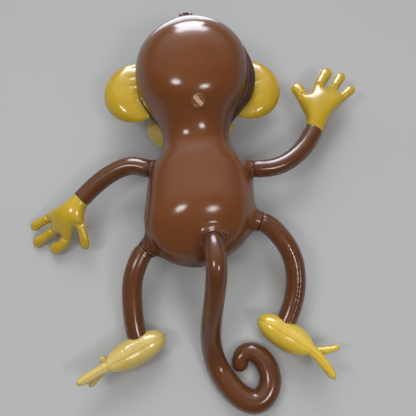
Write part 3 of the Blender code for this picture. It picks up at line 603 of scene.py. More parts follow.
def along_body(grid):
    """Each point's place along the body, 0 at the rump and 1 at the crown."""
    return (grid[..., 1] - RUMP_Y) / BODY_LENGTH


def fold_share(grid):
    """How strongly the body's seam is folded: 1 where the outline bulges out, little at the neck."""
    share = along_body(grid)
    crown = CROWN_STRENGTH * ease((share - CROWN_FOLDS[0]) / CROWN_FOLDS[1])
    rump = RUMP_STRENGTH * ease((RUMP_FOLDS[0] - share) / RUMP_FOLDS[1])
    most = np.maximum(np.maximum(hump(share, *CHEEK_FOLDS), crown), rump)
    return LEAST_FOLDS + (1.0 - LEAST_FOLDS) * most


def from_column(grid, column):
    """How far each point lies from one column of the grid, measured round its ring the shorter way."""
    turned = np.roll(grid, -column, axis=1)
    steps = np.linalg.norm(np.roll(turned, -1, axis=1) - turned, axis=2)
    forward = np.cumsum(steps, axis=1) - steps
    return np.roll(np.minimum(forward, steps.sum(1, keepdims=True) - forward), column, axis=1)


def seamed_chamber(grid):
    """The chamber with its two side seams pressed in and folded."""
    push = np.zeros(grid.shape[:2])
    for column, seed in zip((0, grid.shape[1] // 2), SEAM_SEEDS):
        away = from_column(grid, column)
        along = travelled(grid[:, column])[:, None] + np.zeros_like(away)
        folds = Folds(along[-1, 0], BODY_FOLD_PITCH, seed)
        near = away < FOLD_LIMIT * BODY_FOLD_REACH
        push += SEAM_GROOVE * np.exp(-((away / GROOVE_WIDTH) ** 2))
        depth = BODY_FOLD_DEPTH * fold_share(grid)
        push[near] += depth[near] * folds.at(along[near], away[near], BODY_FOLD_REACH)
    return grid - push[..., None] * grid_normals(grid)


chamber = seamed_chamber(chamber)
chamber[..., 2] = np.maximum(chamber[..., 2], 0.0)
chamber_normals = grid_normals(chamber)
body_skin = Skin()
body_skin.add_rings(chamber)
for column in (0, BODY_SEGMENTS // 2):
    seam, outward = chamber[:, column], chamber_normals[:, column]
    fin(body_skin, seam, outward, BODY_FIN, BODY_FIN_WAVE, BODY_FIN_PITCH)
body_piece = body_skin.object("vinyl_head_and_body")
print("big chamber has", len(body_piece.data.polygons), "faces")

# %% [markdown]
# Tight and slack vinyl, and painted shade
#
# Blown-up vinyl gets paler where it is stretched, and stays dull along its seams. Along the seams and round
# the limb roots the colour is darker too: partly slack vinyl, partly painted shade of those creases and of
# the sides. The front panel is painted nearly black, darkest at the cheeks, as painted shade. The mesh
# carries one number for each point that says so, and the material reads it. A painted map would need the
# surface unwrapped, and the number follows the shape if the shape changes.

# %% How far each point of the chamber is stretched, and how much painted shade it gets
# How far from the seams the colour stays darker: partly slack vinyl, partly painted shade on the sides
STRETCH_AND_SHADE_REACH = 0.045
# What is left of the stretch at a limb's root, where the colour is partly painted shade, and how far from
# the root it is whole again
ROOT_SLACK_AND_SHADE = 0.35
ROOT_SLACK_AND_SHADE_REACH = 0.018
# How dark the front panel is painted as shade: at the cheeks, elsewhere, and how soon beside the seam
CHEEK_SHADE = 0.9
FRONT_SHADE = 0.35
SHADE_REACH = 0.004
CHEEK_PLACE = (0.71, 0.13)


def stretch_and_shade_of(grid):
    """1 where the back panel is tight, 0 along seams and limb roots, where painted shade is added, and below
    0 on the front panel, which is painted dark as shade.
    """
    away = np.minimum(from_column(grid, 0), from_column(grid, grid.shape[1] // 2))
    # Low along the seams, where the vinyl is slack and painted shade is added
    stretch_and_shade = ease(away / STRETCH_AND_SHADE_REACH)
    for root in ROOTS.values():
        gap = np.linalg.norm(grid - np.array(root.ring), axis=-1) - root.radius
        stretch_and_shade = stretch_and_shade * (ROOT_SLACK_AND_SHADE + (1.0 - ROOT_SLACK_AND_SHADE) * ease(gap / ROOT_SLACK_AND_SHADE_REACH))
    # Below 0 on the front panel, which the material paints nearly black as shade, darkest at the cheeks
    cheek = hump(along_body(grid), *CHEEK_PLACE)
    front = -(FRONT_SHADE + (CHEEK_SHADE - FRONT_SHADE) * cheek) * ease(away / SHADE_REACH)
    return np.where(np.sin(ring_angles(grid.shape[1])) < 0.0, front, stretch_and_shade)


# The number goes on the mesh; it carries the stretch and the painted shade
stretch_and_shade = stretch_and_shade_of(chamber).ravel()
values = np.zeros(len(body_piece.data.vertices), np.float32)
values[:len(stretch_and_shade)] = stretch_and_shade
body_piece.data.attributes.new("stretch_and_shade", "FLOAT", "POINT").data.foreach_set("value", values)
print("stretch runs from", round(float(stretch_and_shade.min()), 2), "to", round(float(stretch_and_shade.max()), 2))

# %% [markdown]
# Tubes
#
# Arms, legs and tail are tubes, each cut from two bent strips, so a seam runs along both sides of every
# tube. A curve with a round bevel would give the tube, but no seams. So rings are set along the route one
# by one: at each step there is a direction ahead, one sideways and one up, and the ring is drawn in the last
# two. The seams pull the ring in a little, folds run off them on the outside of each bend, and the weld at
# the root pinches the tube and gathers it.

# %% A blown-up tube
TUBE_SIDES = 72
TUBE_STEP = 0.0014
TUBE_SPLINE_STEPS = 1200
CAP_STEPS = 16
TUBE_GROOVE = 0.0006
TUBE_GROOVE_WIDTH = 0.0016
TUBE_FOLD_DEPTH = 0.0007
TUBE_FOLD_PITCH = 0.0052
TUBE_FOLD_REACH = 0.0065
# How strong the folds are on a straight, how much stronger outside a bend, and the sharpest bend that counts
STRAIGHT_FOLDS = 0.25
BEND_FOLDS = 2.2
SHARPEST_BEND = 0.45
# The weld at the root pinches the tube and gathers it
ROOT_PINCH = 0.0010
ROOT_PINCH_REACH = 0.0035
ROOT_FOLD_DEPTH = 0.0008
ROOT_FOLD_PITCH = 0.0062
ROOT_FOLD_REACH = 0.0075
# A fin grows from the least width at the root, and is gone again at the end
TUBE_FIN = 0.0009
LEAST_FIN = 0.0001
TUBE_FIN_WAVE = 0.00025
TUBE_FIN_PITCH = 0.0053
FIN_GROWS_OVER = 0.006
FIN_ENDS_OVER = 0.004
WELD_GAP = 0.0003


def tube_frames(path):
    """The directions ahead, to the side and up, at each point of a route."""
    ahead = unit(np.gradient(path, axis=0))
    side = unit(np.cross(ahead, np.array([0.0, 0.0, 1.0])))
    return ahead, side, np.cross(side, ahead)


def tube(route, seam_turn, seed, blunt=False, rims=(TUBE_FIN, TUBE_FIN)):
    """A tube along a route of places and radii; seam_turn lifts its seams from the sides towards the top.

    It gives the skin, its rings of points and the direction ahead at each ring.
    """
    fine = spline_through(route, TUBE_SPLINE_STEPS)
    run = travelled(fine[:, :3])
    cap = fine[-1, 3] if blunt else 0.0
    places = np.linspace(0.0, run[-1] - cap, int((run[-1] - cap) / TUBE_STEP))
    if blunt:
        turn = np.linspace(0.0, 0.5 * math.pi, CAP_STEPS)[1:-1]
        places = np.concatenate([places, run[-1] - cap + cap * np.sin(turn)])
    rows = at_run(fine, run, places)
    path, radius = rows[:, :3], rows[:, 3].copy()
    if blunt:
        radius[-len(turn):] *= np.cos(turn)
    ahead, side, up = tube_frames(path)
    bend = np.gradient(ahead, places, axis=0)
    angle = 2.0 * math.pi * np.arange(TUBE_SIDES)[None, :] / TUBE_SIDES + seam_turn
    out = side[:, None] * np.cos(angle)[..., None] + up[:, None] * np.sin(angle)[..., None]
    outside = -np.einsum("ikc,ic->ik", out, bend) * radius[:, None]
    push = np.zeros(out.shape[:2])
    along = places[:, None] + push
    for k, start in enumerate((0, TUBE_SIDES // 2)):
        turned = (np.arange(TUBE_SIDES) - start + TUBE_SIDES // 2) % TUBE_SIDES - TUBE_SIDES // 2
        away = np.abs(turned)[None, :] * 2.0 * math.pi / TUBE_SIDES * radius[:, None]
        push += TUBE_GROOVE * np.exp(-((away / TUBE_GROOVE_WIDTH) ** 2))
        folds = Folds(places[-1], TUBE_FOLD_PITCH, seed + k)
        strength = STRAIGHT_FOLDS + BEND_FOLDS * np.clip(outside[:, start], 0.0, SHARPEST_BEND)[:, None]
        push += TUBE_FOLD_DEPTH * strength * folds.at(along, away, TUBE_FOLD_REACH)
    gathers = Folds(2.0 * math.pi * radius[0], ROOT_FOLD_PITCH, seed + 7, wraps=True)
    around = (angle - seam_turn) * radius[0]
    push += ROOT_PINCH * np.exp(-((along / ROOT_PINCH_REACH) ** 2))
    push += ROOT_FOLD_DEPTH * gathers.at(around, along, ROOT_FOLD_REACH)
    rings = path[:, None] + out * (radius[:, None] - push)[..., None]
    rings[..., 2] = np.maximum(rings[..., 2], 0.0)
    skin = Skin()
    skin.add_rings(rings)
    fade = ease(places / FIN_GROWS_OVER) * ease((places[-1] - places) / FIN_ENDS_OVER)
    for start, rim in zip((0, TUBE_SIDES // 2), rims):
        fin(skin, rings[:, start], out[:, start], rim * fade + LEAST_FIN, TUBE_FIN_WAVE, TUBE_FIN_PITCH)
    return skin, rings, ahead


print("a tube has", TUBE_SIDES, "points round it, and a ring each", 1000 * TUBE_STEP, "mm")

# %% The welded rim round a limb's root
BEAD_STEPS = 140
BEAD_SINK = 0.0008
BEAD_WAVE = 0.00018
BEAD_WAVES = (3, 5, 8, 13)
BEAD_FIN = 0.0012
BEAD_FIN_WAVE = 0.0002
BEAD_FIN_PITCH = 0.0049


def root_bead(skin, root, seed):
    """The thin welded rim round a limb's root, a little wavy."""
    direction = np.array(root.direction)
    across = np.array(root.direction.orthogonal().normalized())
    over = np.cross(direction, across)
    turn = 2.0 * math.pi * np.arange(BEAD_STEPS) / BEAD_STEPS
    out = np.cos(turn)[:, None] * across + np.sin(turn)[:, None] * over
    draw = np.random.default_rng(seed)
    waves = sum(draw.uniform(-1, 1) * np.sin(n * turn + draw.uniform(0, 6)) for n in BEAD_WAVES)
    path = np.array(root.ring) + out * (root.radius - BEAD_SINK) + BEAD_WAVE * waves[:, None] * direction
    fin(skin, path, out, BEAD_FIN, BEAD_FIN_WAVE, BEAD_FIN_PITCH, closed=True)


print("the rim stands", round(1000 * (BEAD_FIN - BEAD_SINK), 1), "mm off its ring")

# %% [markdown]
# Arms
#
# Both arms leave the shoulder ring sideways and bend, one down to a hand that hangs, one up to a raised
# hand. Their routes are given in shares of the arm's length, starting at the ring.

# %% Arm routes
SIDES = ("left", "right")
ARM_LENGTH = 0.126
ARM_SEAM_TURN = math.radians(8)
ARM_SEEDS = {"left": 21, "right": 31}
ARM_BEAD_SEED = 41
WRIST_LIFT = {"left": 0.052, "right": 0.056}
ARM_FINS = {"left": (0.0009, 0.0012), "right": (0.0009, 0.0022)}
# A tube runs straight off its ring for this share of its radius
STRAIGHT_START = 0.35
ARM_ROUTES = {
    "left": ((-0.246, 0.056), (-0.390, 0.025), (-0.544, -0.049), (-0.700, -0.158), (-0.872, -0.313)),
    "right": ((0.206, 0.004), (0.392, 0.057), (0.563, 0.166), (0.703, 0.314), (0.808, 0.483)),
}


def first_rows(root):
    """The start of a tube's route: straight off its ring."""
    starts = (WELD_GAP, STRAIGHT_START * root.radius)
    return [(*(root.ring + root.direction * off), root.radius) for off in starts]


def flat_route(root, route, length, heights):
    """A route given sideways and lengthwise from the ring, with its own height at each point."""
    rows = first_rows(root)
    for (x, y), height in zip(route, heights):
        place = root.ring + Vector((x, y, 0.0)) * length
        rows.append((place.x, place.y, height, root.radius))
    return rows


def steps_along(route):
    """Even steps along a route's points, the last one 1."""
    return np.arange(1, len(route) + 1) / len(route)


wrists, arm_pieces = {}, {}
for side in SIDES:
    root = ROOTS[f"arm_{side}"]
    heights = root.ring.z + (WRIST_LIFT[side] - root.ring.z) * steps_along(ARM_ROUTES[side])
    route = flat_route(root, ARM_ROUTES[side], ARM_LENGTH, heights)
    skin, rings, ahead = tube(route, ARM_SEAM_TURN, ARM_SEEDS[side], rims=ARM_FINS[side])
    root_bead(skin, root, ARM_BEAD_SEED)
    arm_pieces[side] = skin.object(f"vinyl_arm_{side}")
    wrists[side] = (rings[-1].mean(0), ahead[-1])
    print("wrist", side, "at, mm:", (1000 * wrists[side][0]).round(1))

# %% [markdown]
# Legs
#
# The legs come off the hips, sink to the floor and end inside the feet. They are twisted, so that one seam
# runs along the top, where its folds catch the light. The foot is made later and then cut out of the leg's
# end, so that the two fit like a socket.

# %% Leg routes
LEG_LENGTH = {"left": 0.154, "right": 0.187}
LEG_ROUTES = {
    "left": ((-0.088, -0.118), (-0.145, -0.273), (-0.165, -0.444), (-0.163, -0.636), (-0.131, -0.831),
             (-0.092, -0.929)),
    "right": ((0.142, -0.115), (0.232, -0.270), (0.262, -0.448), (0.236, -0.630), (0.172, -0.787),
              (0.110, -0.884)),
}
LEG_SEAM_TURN = {"left": math.radians(38), "right": math.radians(105)}
LEG_SEEDS = {"left": 51, "right": 61}
LEG_BEAD_SEED = 71
# A foot stands on its edge, so the ankle is half a foot's width over the floor
FOOT_WIDTH = 0.069

ankles, leg_skins = {}, {}
for side in SIDES:
    root = ROOTS[f"leg_{side}"]
    heights = root.ring.z + (0.5 * FOOT_WIDTH - root.ring.z) * ease(steps_along(LEG_ROUTES[side]))
    route = flat_route(root, LEG_ROUTES[side], LEG_LENGTH[side], heights)
    leg_skins[side], rings, _ = tube(route, LEG_SEAM_TURN[side], LEG_SEEDS[side])
    root_bead(leg_skins[side], root, LEG_BEAD_SEED)
    ankles[side] = rings[-1].mean(0)
    print("ankle", side, "at, mm:", (1000 * ankles[side]).round(1))

# %% [markdown]
# Tail
#
# The tail leaves the rump backwards and up, arches over, comes down to the floor and curls round flat on it.
# Its girth grows into the bend and shrinks towards the blunt tip.

# %% Tail route
TAIL_BEND_DIAMETER = 0.0365
TAIL_LENGTH = 0.434
TAIL_SEED = 81
TAIL_BEAD_SEED = 91
# Sideways and lengthwise from the ring, height up to the ring's, and girth up to the bend's
TAIL_ROUTE = (
    (0.004, -0.049, 1.13, 0.0),
    (0.005, -0.094, 1.14, 0.0),
    (0.000, -0.148, 1.01, 0.0),
    (-0.011, -0.212, 0.77, 0.0),
    (-0.022, -0.280, 0.47, 0.1),
    (-0.023, -0.349, 0.19, 0.2),
    (-0.005, -0.420, 0.03, 0.5),
    (0.035, -0.488, 0.0, 0.9),
    (0.076, -0.529, 0.0, 1.0),
    (0.121, -0.543, 0.0, 1.0),
    (0.157, -0.520, 0.0, 0.85),
    (0.175, -0.476, 0.0, 0.65),
    (0.168, -0.430, 0.0, 0.45),
    (0.140, -0.389, 0.0, 0.2),
    (0.105, -0.375, 0.0, -0.1),
    (0.079, -0.392, 0.0, -0.3),
    (0.080, -0.442, 0.0, -0.95),
)


def tail_rows(root):
    """The tail's route as places and radii."""
    rows = first_rows(root)
    for x, y, height, girth in TAIL_ROUTE:
        radius = 0.5 * (TAIL_DIAMETER + girth * (TAIL_BEND_DIAMETER - TAIL_DIAMETER))
        place = root.ring + Vector((x, y, 0.0)) * TAIL_LENGTH
        rows.append((place.x, place.y, radius + height * (root.ring.z - radius), radius))
    return rows


tail_skin, _, _ = tube(tail_rows(ROOTS["tail"]), 0.0, TAIL_SEED, blunt=True)
root_bead(tail_skin, ROOTS["tail"], TAIL_BEAD_SEED)
tail_piece = tail_skin.object("vinyl_tail")
print("tail has", len(tail_piece.data.polygons), "faces")

# %% [markdown]
# Pillows
#
# Hands and feet are two flat sheets, cut to one outline, welded round it and blown up. A narrow finger blows
# up round, and a broad palm is held in flatter. That is what a soap film does, so the height is worked out
# the same way: triangles over the outline, an even pressure on them, and one set of equations. Modelling the
# same form with a sculpting brush would take longer, and no two fingers would match.

# %% Outlines
CORNER_CUTS = 3
# A finger is a little narrower than its width along its sides, and a little wider round its tip
FINGER_SIDE = 0.92
FINGER_TIP = 1.06
TIP_TURNS = (90, 50, 18, -18, -50, -90)


def softened(outline):
    """Corners cut again and again, so that an outline of few points runs smoothly."""
    loop = np.array(outline, float)
    for _ in range(CORNER_CUTS):
        after = np.roll(loop, -1, axis=0)
        loop = np.stack([0.75 * loop + 0.25 * after, 0.25 * loop + 0.75 * after], axis=1).reshape(-1, 2)
    return loop


def evenly_spaced(loop, step):
    """A closed outline in even steps of about one length."""
    run = travelled(loop, closed=True)
    count = max(12, int(round(run[-1] / step)))
    return at_run(np.vstack([loop, loop[:1]]), run, np.linspace(0.0, run[-1], count, endpoint=False))


def aside_of(ahead):
    """The direction to the left of a flat direction."""
    return unit(np.array([-ahead[1], ahead[0]]))


def fingered_outline(palm_before, fingers, palm_after):
    """Up one side of a palm, round each finger, and down the other side.

    Each finger has its root, any knees that it bends at, its tip and its width.
    """
    outline = list(palm_before)
    for *joints, tip, width in fingers:
        joints, tip = [np.array(joint) for joint in joints], np.array(tip)
        half = 0.5 * width
        spans = [unit(b - a) for a, b in zip(joints, joints[1:] + [tip])]
        asides = [aside_of(spans[0])] + [aside_of(a + b) for a, b in zip(spans, spans[1:])]
        neck = tip - half * spans[-1]
        outline += [tuple(joint + FINGER_SIDE * half * aside) for joint, aside in zip(joints, asides)]
        for angle in map(math.radians, TIP_TURNS):
            round_tip = math.cos(angle) * spans[-1] + math.sin(angle) * aside_of(spans[-1])
            outline.append(tuple(neck + FINGER_TIP * half * round_tip))
        back = zip(joints[::-1], asides[::-1])
        outline += [tuple(joint - FINGER_SIDE * half * aside) for joint, aside in back]
    return outline + list(palm_after)


def outward_of(loop, closed=True):
    """Outward directions along an outline that runs counter-clockwise."""
    if closed:
        ahead = np.roll(loop, -1, axis=0) - np.roll(loop, 1, axis=0)
    else:
        ahead = np.gradient(loop, axis=0)
    return unit(np.stack([ahead[:, 1], -ahead[:, 0]], axis=1))


def distance_to(loop, points, closed=True):
    """The distance of each point from an outline, and how far along the outline it is nearest."""
    a = loop if closed else loop[:-1]
    b = np.roll(loop, -1, axis=0) if closed else loop[1:]
    span = b - a
    offset = points[:, None, :] - a[None]
    share = np.clip((offset * span).sum(2) / np.maximum((span**2).sum(1), 1e-18), 0.0, 1.0)
    gaps = np.linalg.norm(offset - share[..., None] * span, axis=2)
    best = gaps.argmin(1)
    rows = np.arange(len(points))
    lengths = np.linalg.norm(span, axis=1)
    run = np.concatenate([[0.0], np.cumsum(lengths)])[:-1]
    return gaps[rows, best], run[best] + share[rows, best] * lengths[best]


def inside(loop, points):
    """Whether each point lies inside: a line from it crosses the outline an odd number of times."""
    x, y = points[:, 0:1], points[:, 1:2]
    ax, ay = loop[None, :, 0], loop[None, :, 1]
    bx, by = np.roll(loop, -1, axis=0).T[:, None, :]
    crosses = (ay > y) != (by > y)
    with np.errstate(divide="ignore", invalid="ignore"):
        left_of = x < (bx - ax) * (y - ay) / (by - ay) + ax
    return (crosses & left_of).sum(1) % 2 == 1


square = softened([(0, 0), (1, 0), (1, 1), (0, 1)])
print("a square with its corners cut has", len(square), "points")

# %% Triangles over an outline
# Two rows of points just inside the edge, then a grid that keeps clear of them, all in shares of a cell
RIM_INSETS = (0.35, 0.95)
GRID_INSET = 1.55
ROW_PITCH = 0.866
# A point of those rows is left out where the edge is nearer than this share of the inset
RIM_CLEAR = 0.93


def triangulated(points, loop):
    """Points and triangles inside the outline whose points come first."""
    found = geometry.delaunay_2d_cdt([Vector(p) for p in points], [], [loop], 1, 1e-7)
    return np.array([v[:] for v in found[0]]), [tuple(f) for f in found[2] if len(f) == 3]


def sheet(loop, cell):
    """Points and triangles over an outline, its own points first, finer towards the edge."""
    inward = -outward_of(loop)
    rims = []
    for inset in [share * cell for share in RIM_INSETS]:
        rim = loop + inset * inward
        rims.append(rim[distance_to(loop, rim)[0] > RIM_CLEAR * inset])
    low, high = loop.min(0), loop.max(0)
    rows = np.arange(low[1], high[1], ROW_PITCH * cell)
    grid = np.array([(x + 0.5 * cell * (j % 2), y) for j, y in enumerate(rows)
                     for x in np.arange(low[0], high[0], cell)])
    grid = grid[inside(loop, grid)]
    grid = grid[distance_to(loop, grid)[0] > GRID_INSET * cell]
    points = np.vstack([loop] + rims + [grid])
    edge = list(range(len(loop)))
    places, triangles = triangulated(points, edge)
    flat = [places[list(t)].mean(0) for t in triangles if max(t) < len(loop)]
    if flat:
        places, triangles = triangulated(np.vstack([points, flat]), edge)
    return places, triangles


square = evenly_spaced(square, 0.1)
places, triangles = sheet(square, 0.1)
print("triangles over the square, 10 cells wide:", len(triangles))

# %% The blown-up sheet
def blown_height(places, triangles, edge_count):
    """How far an evenly blown sheet stands over each point; its edge stays at zero."""
    count = len(places)
    stiff = np.zeros((count, count))
    load = np.zeros(count)
    corners = places[np.array(triangles)]
    spans = corners[:, 1] - corners[:, 0], corners[:, 2] - corners[:, 0]
    area = 0.5 * np.abs(spans[0][:, 0] * spans[1][:, 1] - spans[0][:, 1] * spans[1][:, 0])
    sides = np.roll(corners, -1, axis=1) - np.roll(corners, -2, axis=1)
    local = np.einsum("tac,tbc->tab", sides, sides) / (4.0 * np.maximum(area, 1e-13))[:, None, None]
    index = np.array(triangles)
    for a in range(3):
        np.add.at(load, index[:, a], area / 3.0)
        for b in range(3):
            np.add.at(stiff, (index[:, a], index[:, b]), local[:, a, b])
    free = np.arange(count) >= edge_count
    height = np.zeros(count)
    height[free] = np.linalg.solve(stiff[np.ix_(free, free)], load[free])
    return np.sqrt(2.0 * np.maximum(height, 0.0))


def held_in(rise, thickness):
    """A full round rise, held in softly to a thickness."""
    fullest = min(0.5 * thickness, 0.99 * rise.max())
    limit = (1.0 / fullest**2 - 1.0 / rise.max() ** 2) ** -0.5
    return rise * limit / np.hypot(rise, limit)


blown = blown_height(places, triangles, len(square))
print("blown up, the square rises by", round(float(blown.max()), 2), "of its width")
print("held in to half that:", round(float(held_in(blown, blown.max()).max()), 2))

# %% Both sheets with their creases and rim folds
EDGE_STEP = 0.75
FOLD_LIMIT_PILLOW = 2.6
# A fold or a crease never takes more than the rest of a sheet's rise
LEAST_FOLDED = 0.12
LEAST_CREASED = 0.15
# A crease fades over this share of its length at each end, from a start that isn't quite nothing
CREASE_FADE = 0.25
CREASE_START = 0.35
PILLOW_FIN_PITCH = 0.0047


class Pillow:
    """Two welded sheets in their own flat plan: points, rises, triangles and the outline.

    The folds are given by their depth, their pitch and how far they reach in from the weld.
    """

    def __init__(self, outline, thickness, cell, seed, fold_depth, fold_pitch, fold_reach):
        loop = evenly_spaced(softened(outline), EDGE_STEP * cell)
        ahead = np.roll(loop, -1, axis=0)
        if np.sum(loop[:, 0] * ahead[:, 1] - loop[:, 1] * ahead[:, 0]) < 0.0:
            loop = loop[::-1]
        self.loop = loop
        self.places, self.triangles = sheet(loop, cell)
        self.rise = held_in(blown_height(self.places, self.triangles, len(loop)), thickness)
        self.away, self.along = distance_to(loop, self.places)
        length = travelled(loop, closed=True)[-1]
        both = [Folds(length, fold_pitch, seed + k, wraps=True) for k in (0, 1)]
        self.upper, self.lower = [self.folded(folds, fold_depth, fold_reach) for folds in both]

    def folded(self, folds, depth, reach):
        """The rise with small folds running in from the weld."""
        near = self.away < FOLD_LIMIT_PILLOW * reach
        push = np.zeros(len(self.rise))
        push[near] = depth * folds.at(self.along[near], self.away[near], reach)
        return np.maximum(self.rise - push, LEAST_FOLDED * self.rise)

    def crease(self, line, depth, width):
        """A pinched line across the pillow, deepest in its middle and fading at both ends."""
        line = np.array(line, float)
        away, along = distance_to(line, self.places, closed=False)
        length = travelled(line)[-1]
        from_ends = [reached / (CREASE_FADE * length) + CREASE_START for reached in (along, length - along)]
        push = depth * ease(from_ends[0]) * ease(from_ends[1]) * np.exp(-((away / width) ** 2))
        self.upper, self.lower = [
            np.maximum(rise - push, LEAST_CREASED * rise) for rise in (self.upper, self.lower)
        ]

    def skin(self, shape, rim, wave, fin_loop=None):
        """Both sheets and the rim as a closed skin, each flat point (x, y, z) put in place by shape.

        fin_loop picks the open part of the outline that has a rim, where it isn't all of it.
        """
        edge = len(self.loop)
        top = np.column_stack([self.places, self.upper])
        under = np.column_stack([self.places[edge:], -self.lower[edge:]])
        points = np.vstack([top, under])
        shift = len(top) - edge
        faces = [tuple(t) for t in self.triangles]
        faces += [tuple(v if v < edge else v + shift for v in t[::-1]) for t in self.triangles]
        made = Skin()
        made.add(shape(points), faces)
        loop = self.loop if fin_loop is None else fin_loop(self.loop)
        flat = np.column_stack([loop, np.zeros(len(loop))])
        away = np.column_stack([outward_of(loop, closed=fin_loop is None), np.zeros(len(loop))])
        path = shape(flat)
        out = shape(flat + 0.001 * away) - path
        fin(made, path, out, rim, wave, PILLOW_FIN_PITCH, closed=fin_loop is None)
        return made


print("a fold leaves", LEAST_FOLDED, "of a sheet's rise at least, and a crease", LEAST_CREASED)

# %% [markdown]
# Hands
#
# Three fingers and a thumb, cut with the palm from one outline. Each hand has its own pose: the fingers
# bend at a knee and the whole hand droops from the wrist. Where a finger joins the palm, the vinyl kinks, so
# a crease is pressed in across it. The wrist end is open to the arm and is closed flat here.

# %% Hand shapes
HAND_LENGTH = 0.111
HAND_THICKNESS = 0.036
HAND_CELL = 0.0019
HAND_SEEDS = {"left": 101, "right": 111}
HAND_FOLDS = (0.0005, 0.0042, 0.006)
HAND_RIM, HAND_RIM_WAVE = 0.0004, 0.0001
# The rim starts this far past the wrist
WRIST_BARE = 0.004
# Each finger: where it leaves the palm, where it bends, its tip and its width; the thumb comes first
HAND_FINGERS = {
    "left": (
        ((0.270, 0.185), (0.420, 0.315), (0.570, 0.420), 0.165),
        ((0.600, 0.078), (0.745, 0.088), (0.915, -0.038), 0.165),
        ((0.620, -0.130), (0.800, -0.212), (1.000, -0.300), 0.140),
        ((0.500, -0.285), (0.650, -0.368), (0.810, -0.458), 0.135),
    ),
    "right": (
        ((0.430, 0.240), (0.530, 0.318), (0.650, 0.405), 0.190),
        ((0.660, 0.070), (0.800, 0.035), (1.020, -0.035), 0.165),
        ((0.700, -0.150), (0.840, -0.198), (1.000, -0.248), 0.140),
        ((0.600, -0.300), (0.705, -0.368), (0.825, -0.440), 0.140),
    ),
}
HAND_SIDE_BEFORE = {"left": ((-0.25, 0.0), (0.02, 0.0), (0.10, 0.165), (0.17, 0.215)),
                    "right": ((-0.25, 0.0), (0.02, 0.0), (0.12, 0.165), (0.24, 0.235))}
HAND_SIDE_AFTER = {"left": ((0.40, -0.300), (0.25, -0.185), (0.14, -0.125), (0.02, 0.0), (-0.25, 0.0)),
                   "right": ((0.46, -0.285), (0.27, -0.165), (0.14, -0.125), (0.02, 0.0), (-0.25, 0.0))}
HAND_TURN = {"left": math.radians(8.7), "right": math.radians(12.6)}
HAND_DROOP = {"left": math.radians(20), "right": math.radians(3)}
# The droop and the swell from the wrist's girth to the palm's are spread over these shares of the hand
DROOP_SHARE = 0.60
SWELL_SHARE = 0.3
# Where the crease lies past a finger's root, in shares of the hand, and how far it reaches to each side, in
# shares of the finger's width
CREASE_AHEAD = 0.02
CREASE_SPAN = 0.46
# Depth and width of the crease at each finger
FINGER_CREASES = {
    "left": ((0.0048, 0.0024), (0.0040, 0.0024), (0.0022, 0.0026), (0.0030, 0.0024)),
    "right": ((0.0026, 0.0026), (0.0044, 0.0022), (0.0040, 0.0022), (0.0026, 0.0026)),
}


def turned_plan(points, side):
    """Plan points in shares of the hand's length, as metres with the palm turned on the wrist."""
    points = np.array(points, float) * HAND_LENGTH
    angle = HAND_TURN[side] * ease((points[:, 0] - 0.05 * HAND_LENGTH) / (0.35 * HAND_LENGTH))
    c, s = np.cos(angle), np.sin(angle)
    return np.column_stack([points[:, 0] * c - points[:, 1] * s, points[:, 0] * s + points[:, 1] * c])


def hand_outline(side):
    """The hand's outline, as wide at the wrist as the arm."""
    points = np.array(fingered_outline(HAND_SIDE_BEFORE[side], HAND_FINGERS[side], HAND_SIDE_AFTER[side]))
    wrist = 0.5 * ARM_DIAMETER / HAND_LENGTH
    points[:2, 1], points[-2:, 1] = wrist, -wrist
    return turned_plan(points, side)


def standing_frame(place, ahead, up):
    """Columns ahead, aside and upward, and the place they start from."""
    ahead = Vector(ahead).normalized()
    aside = Vector(up).cross(ahead).normalized()
    return np.array([ahead, aside, ahead.cross(aside)]).T, np.array(place)


def hand_pillow(side):
    """The hand in its flat plan, as thick at the wrist as the arm, creased across each finger's root."""
    pillow = Pillow(hand_outline(side), HAND_THICKNESS, HAND_CELL, HAND_SEEDS[side], *HAND_FOLDS)
    at_wrist = np.abs(pillow.places[:, 0]) < 2.0 * HAND_CELL
    fit = 0.5 * ARM_DIAMETER / pillow.rise[at_wrist].max()
    scale = fit + (1.0 - fit) * ease(pillow.places[:, 0] / (SWELL_SHARE * HAND_LENGTH))
    pillow.upper, pillow.lower = pillow.upper * scale, pillow.lower * scale
    for (root, knee, _, width), (depth, spread) in zip(HAND_FINGERS[side], FINGER_CREASES[side]):
        root, ahead = np.array(root), unit(np.array(knee) - root)
        aside = CREASE_SPAN * width * aside_of(ahead)
        middle = root + CREASE_AHEAD * ahead
        line = [middle - aside, middle + CREASE_AHEAD * ahead, middle + aside]
        pillow.crease(turned_plan(line, side), depth, spread)
    return pillow


def hand_skin(side):
    """The hand's skin at the end of its arm, drooping from the wrist, with a rim past the wrist."""
    place, ahead = wrists[side]
    axes, start = standing_frame(place + ahead * WELD_GAP, ahead, (0, 0, 1))

    def shape(points):
        points = points.copy()
        x = points[:, 0].copy()
        bend = HAND_DROOP[side] * ease(x / (DROOP_SHARE * HAND_LENGTH))
        points[:, 2] -= x * np.sin(bend)
        points[:, 0] = x * np.cos(bend)
        made = points @ axes.T + start
        made[:, 2] = np.maximum(made[:, 2], 0.0)
        return made

    def past_wrist(loop):
        keep = loop[:, 0] > WRIST_BARE
        first = int(np.argmax(keep & ~np.roll(keep, 1)))
        return np.roll(loop, -first, axis=0)[np.roll(keep, -first)]

    return hand_pillow(side).skin(shape, HAND_RIM, HAND_RIM_WAVE, past_wrist)


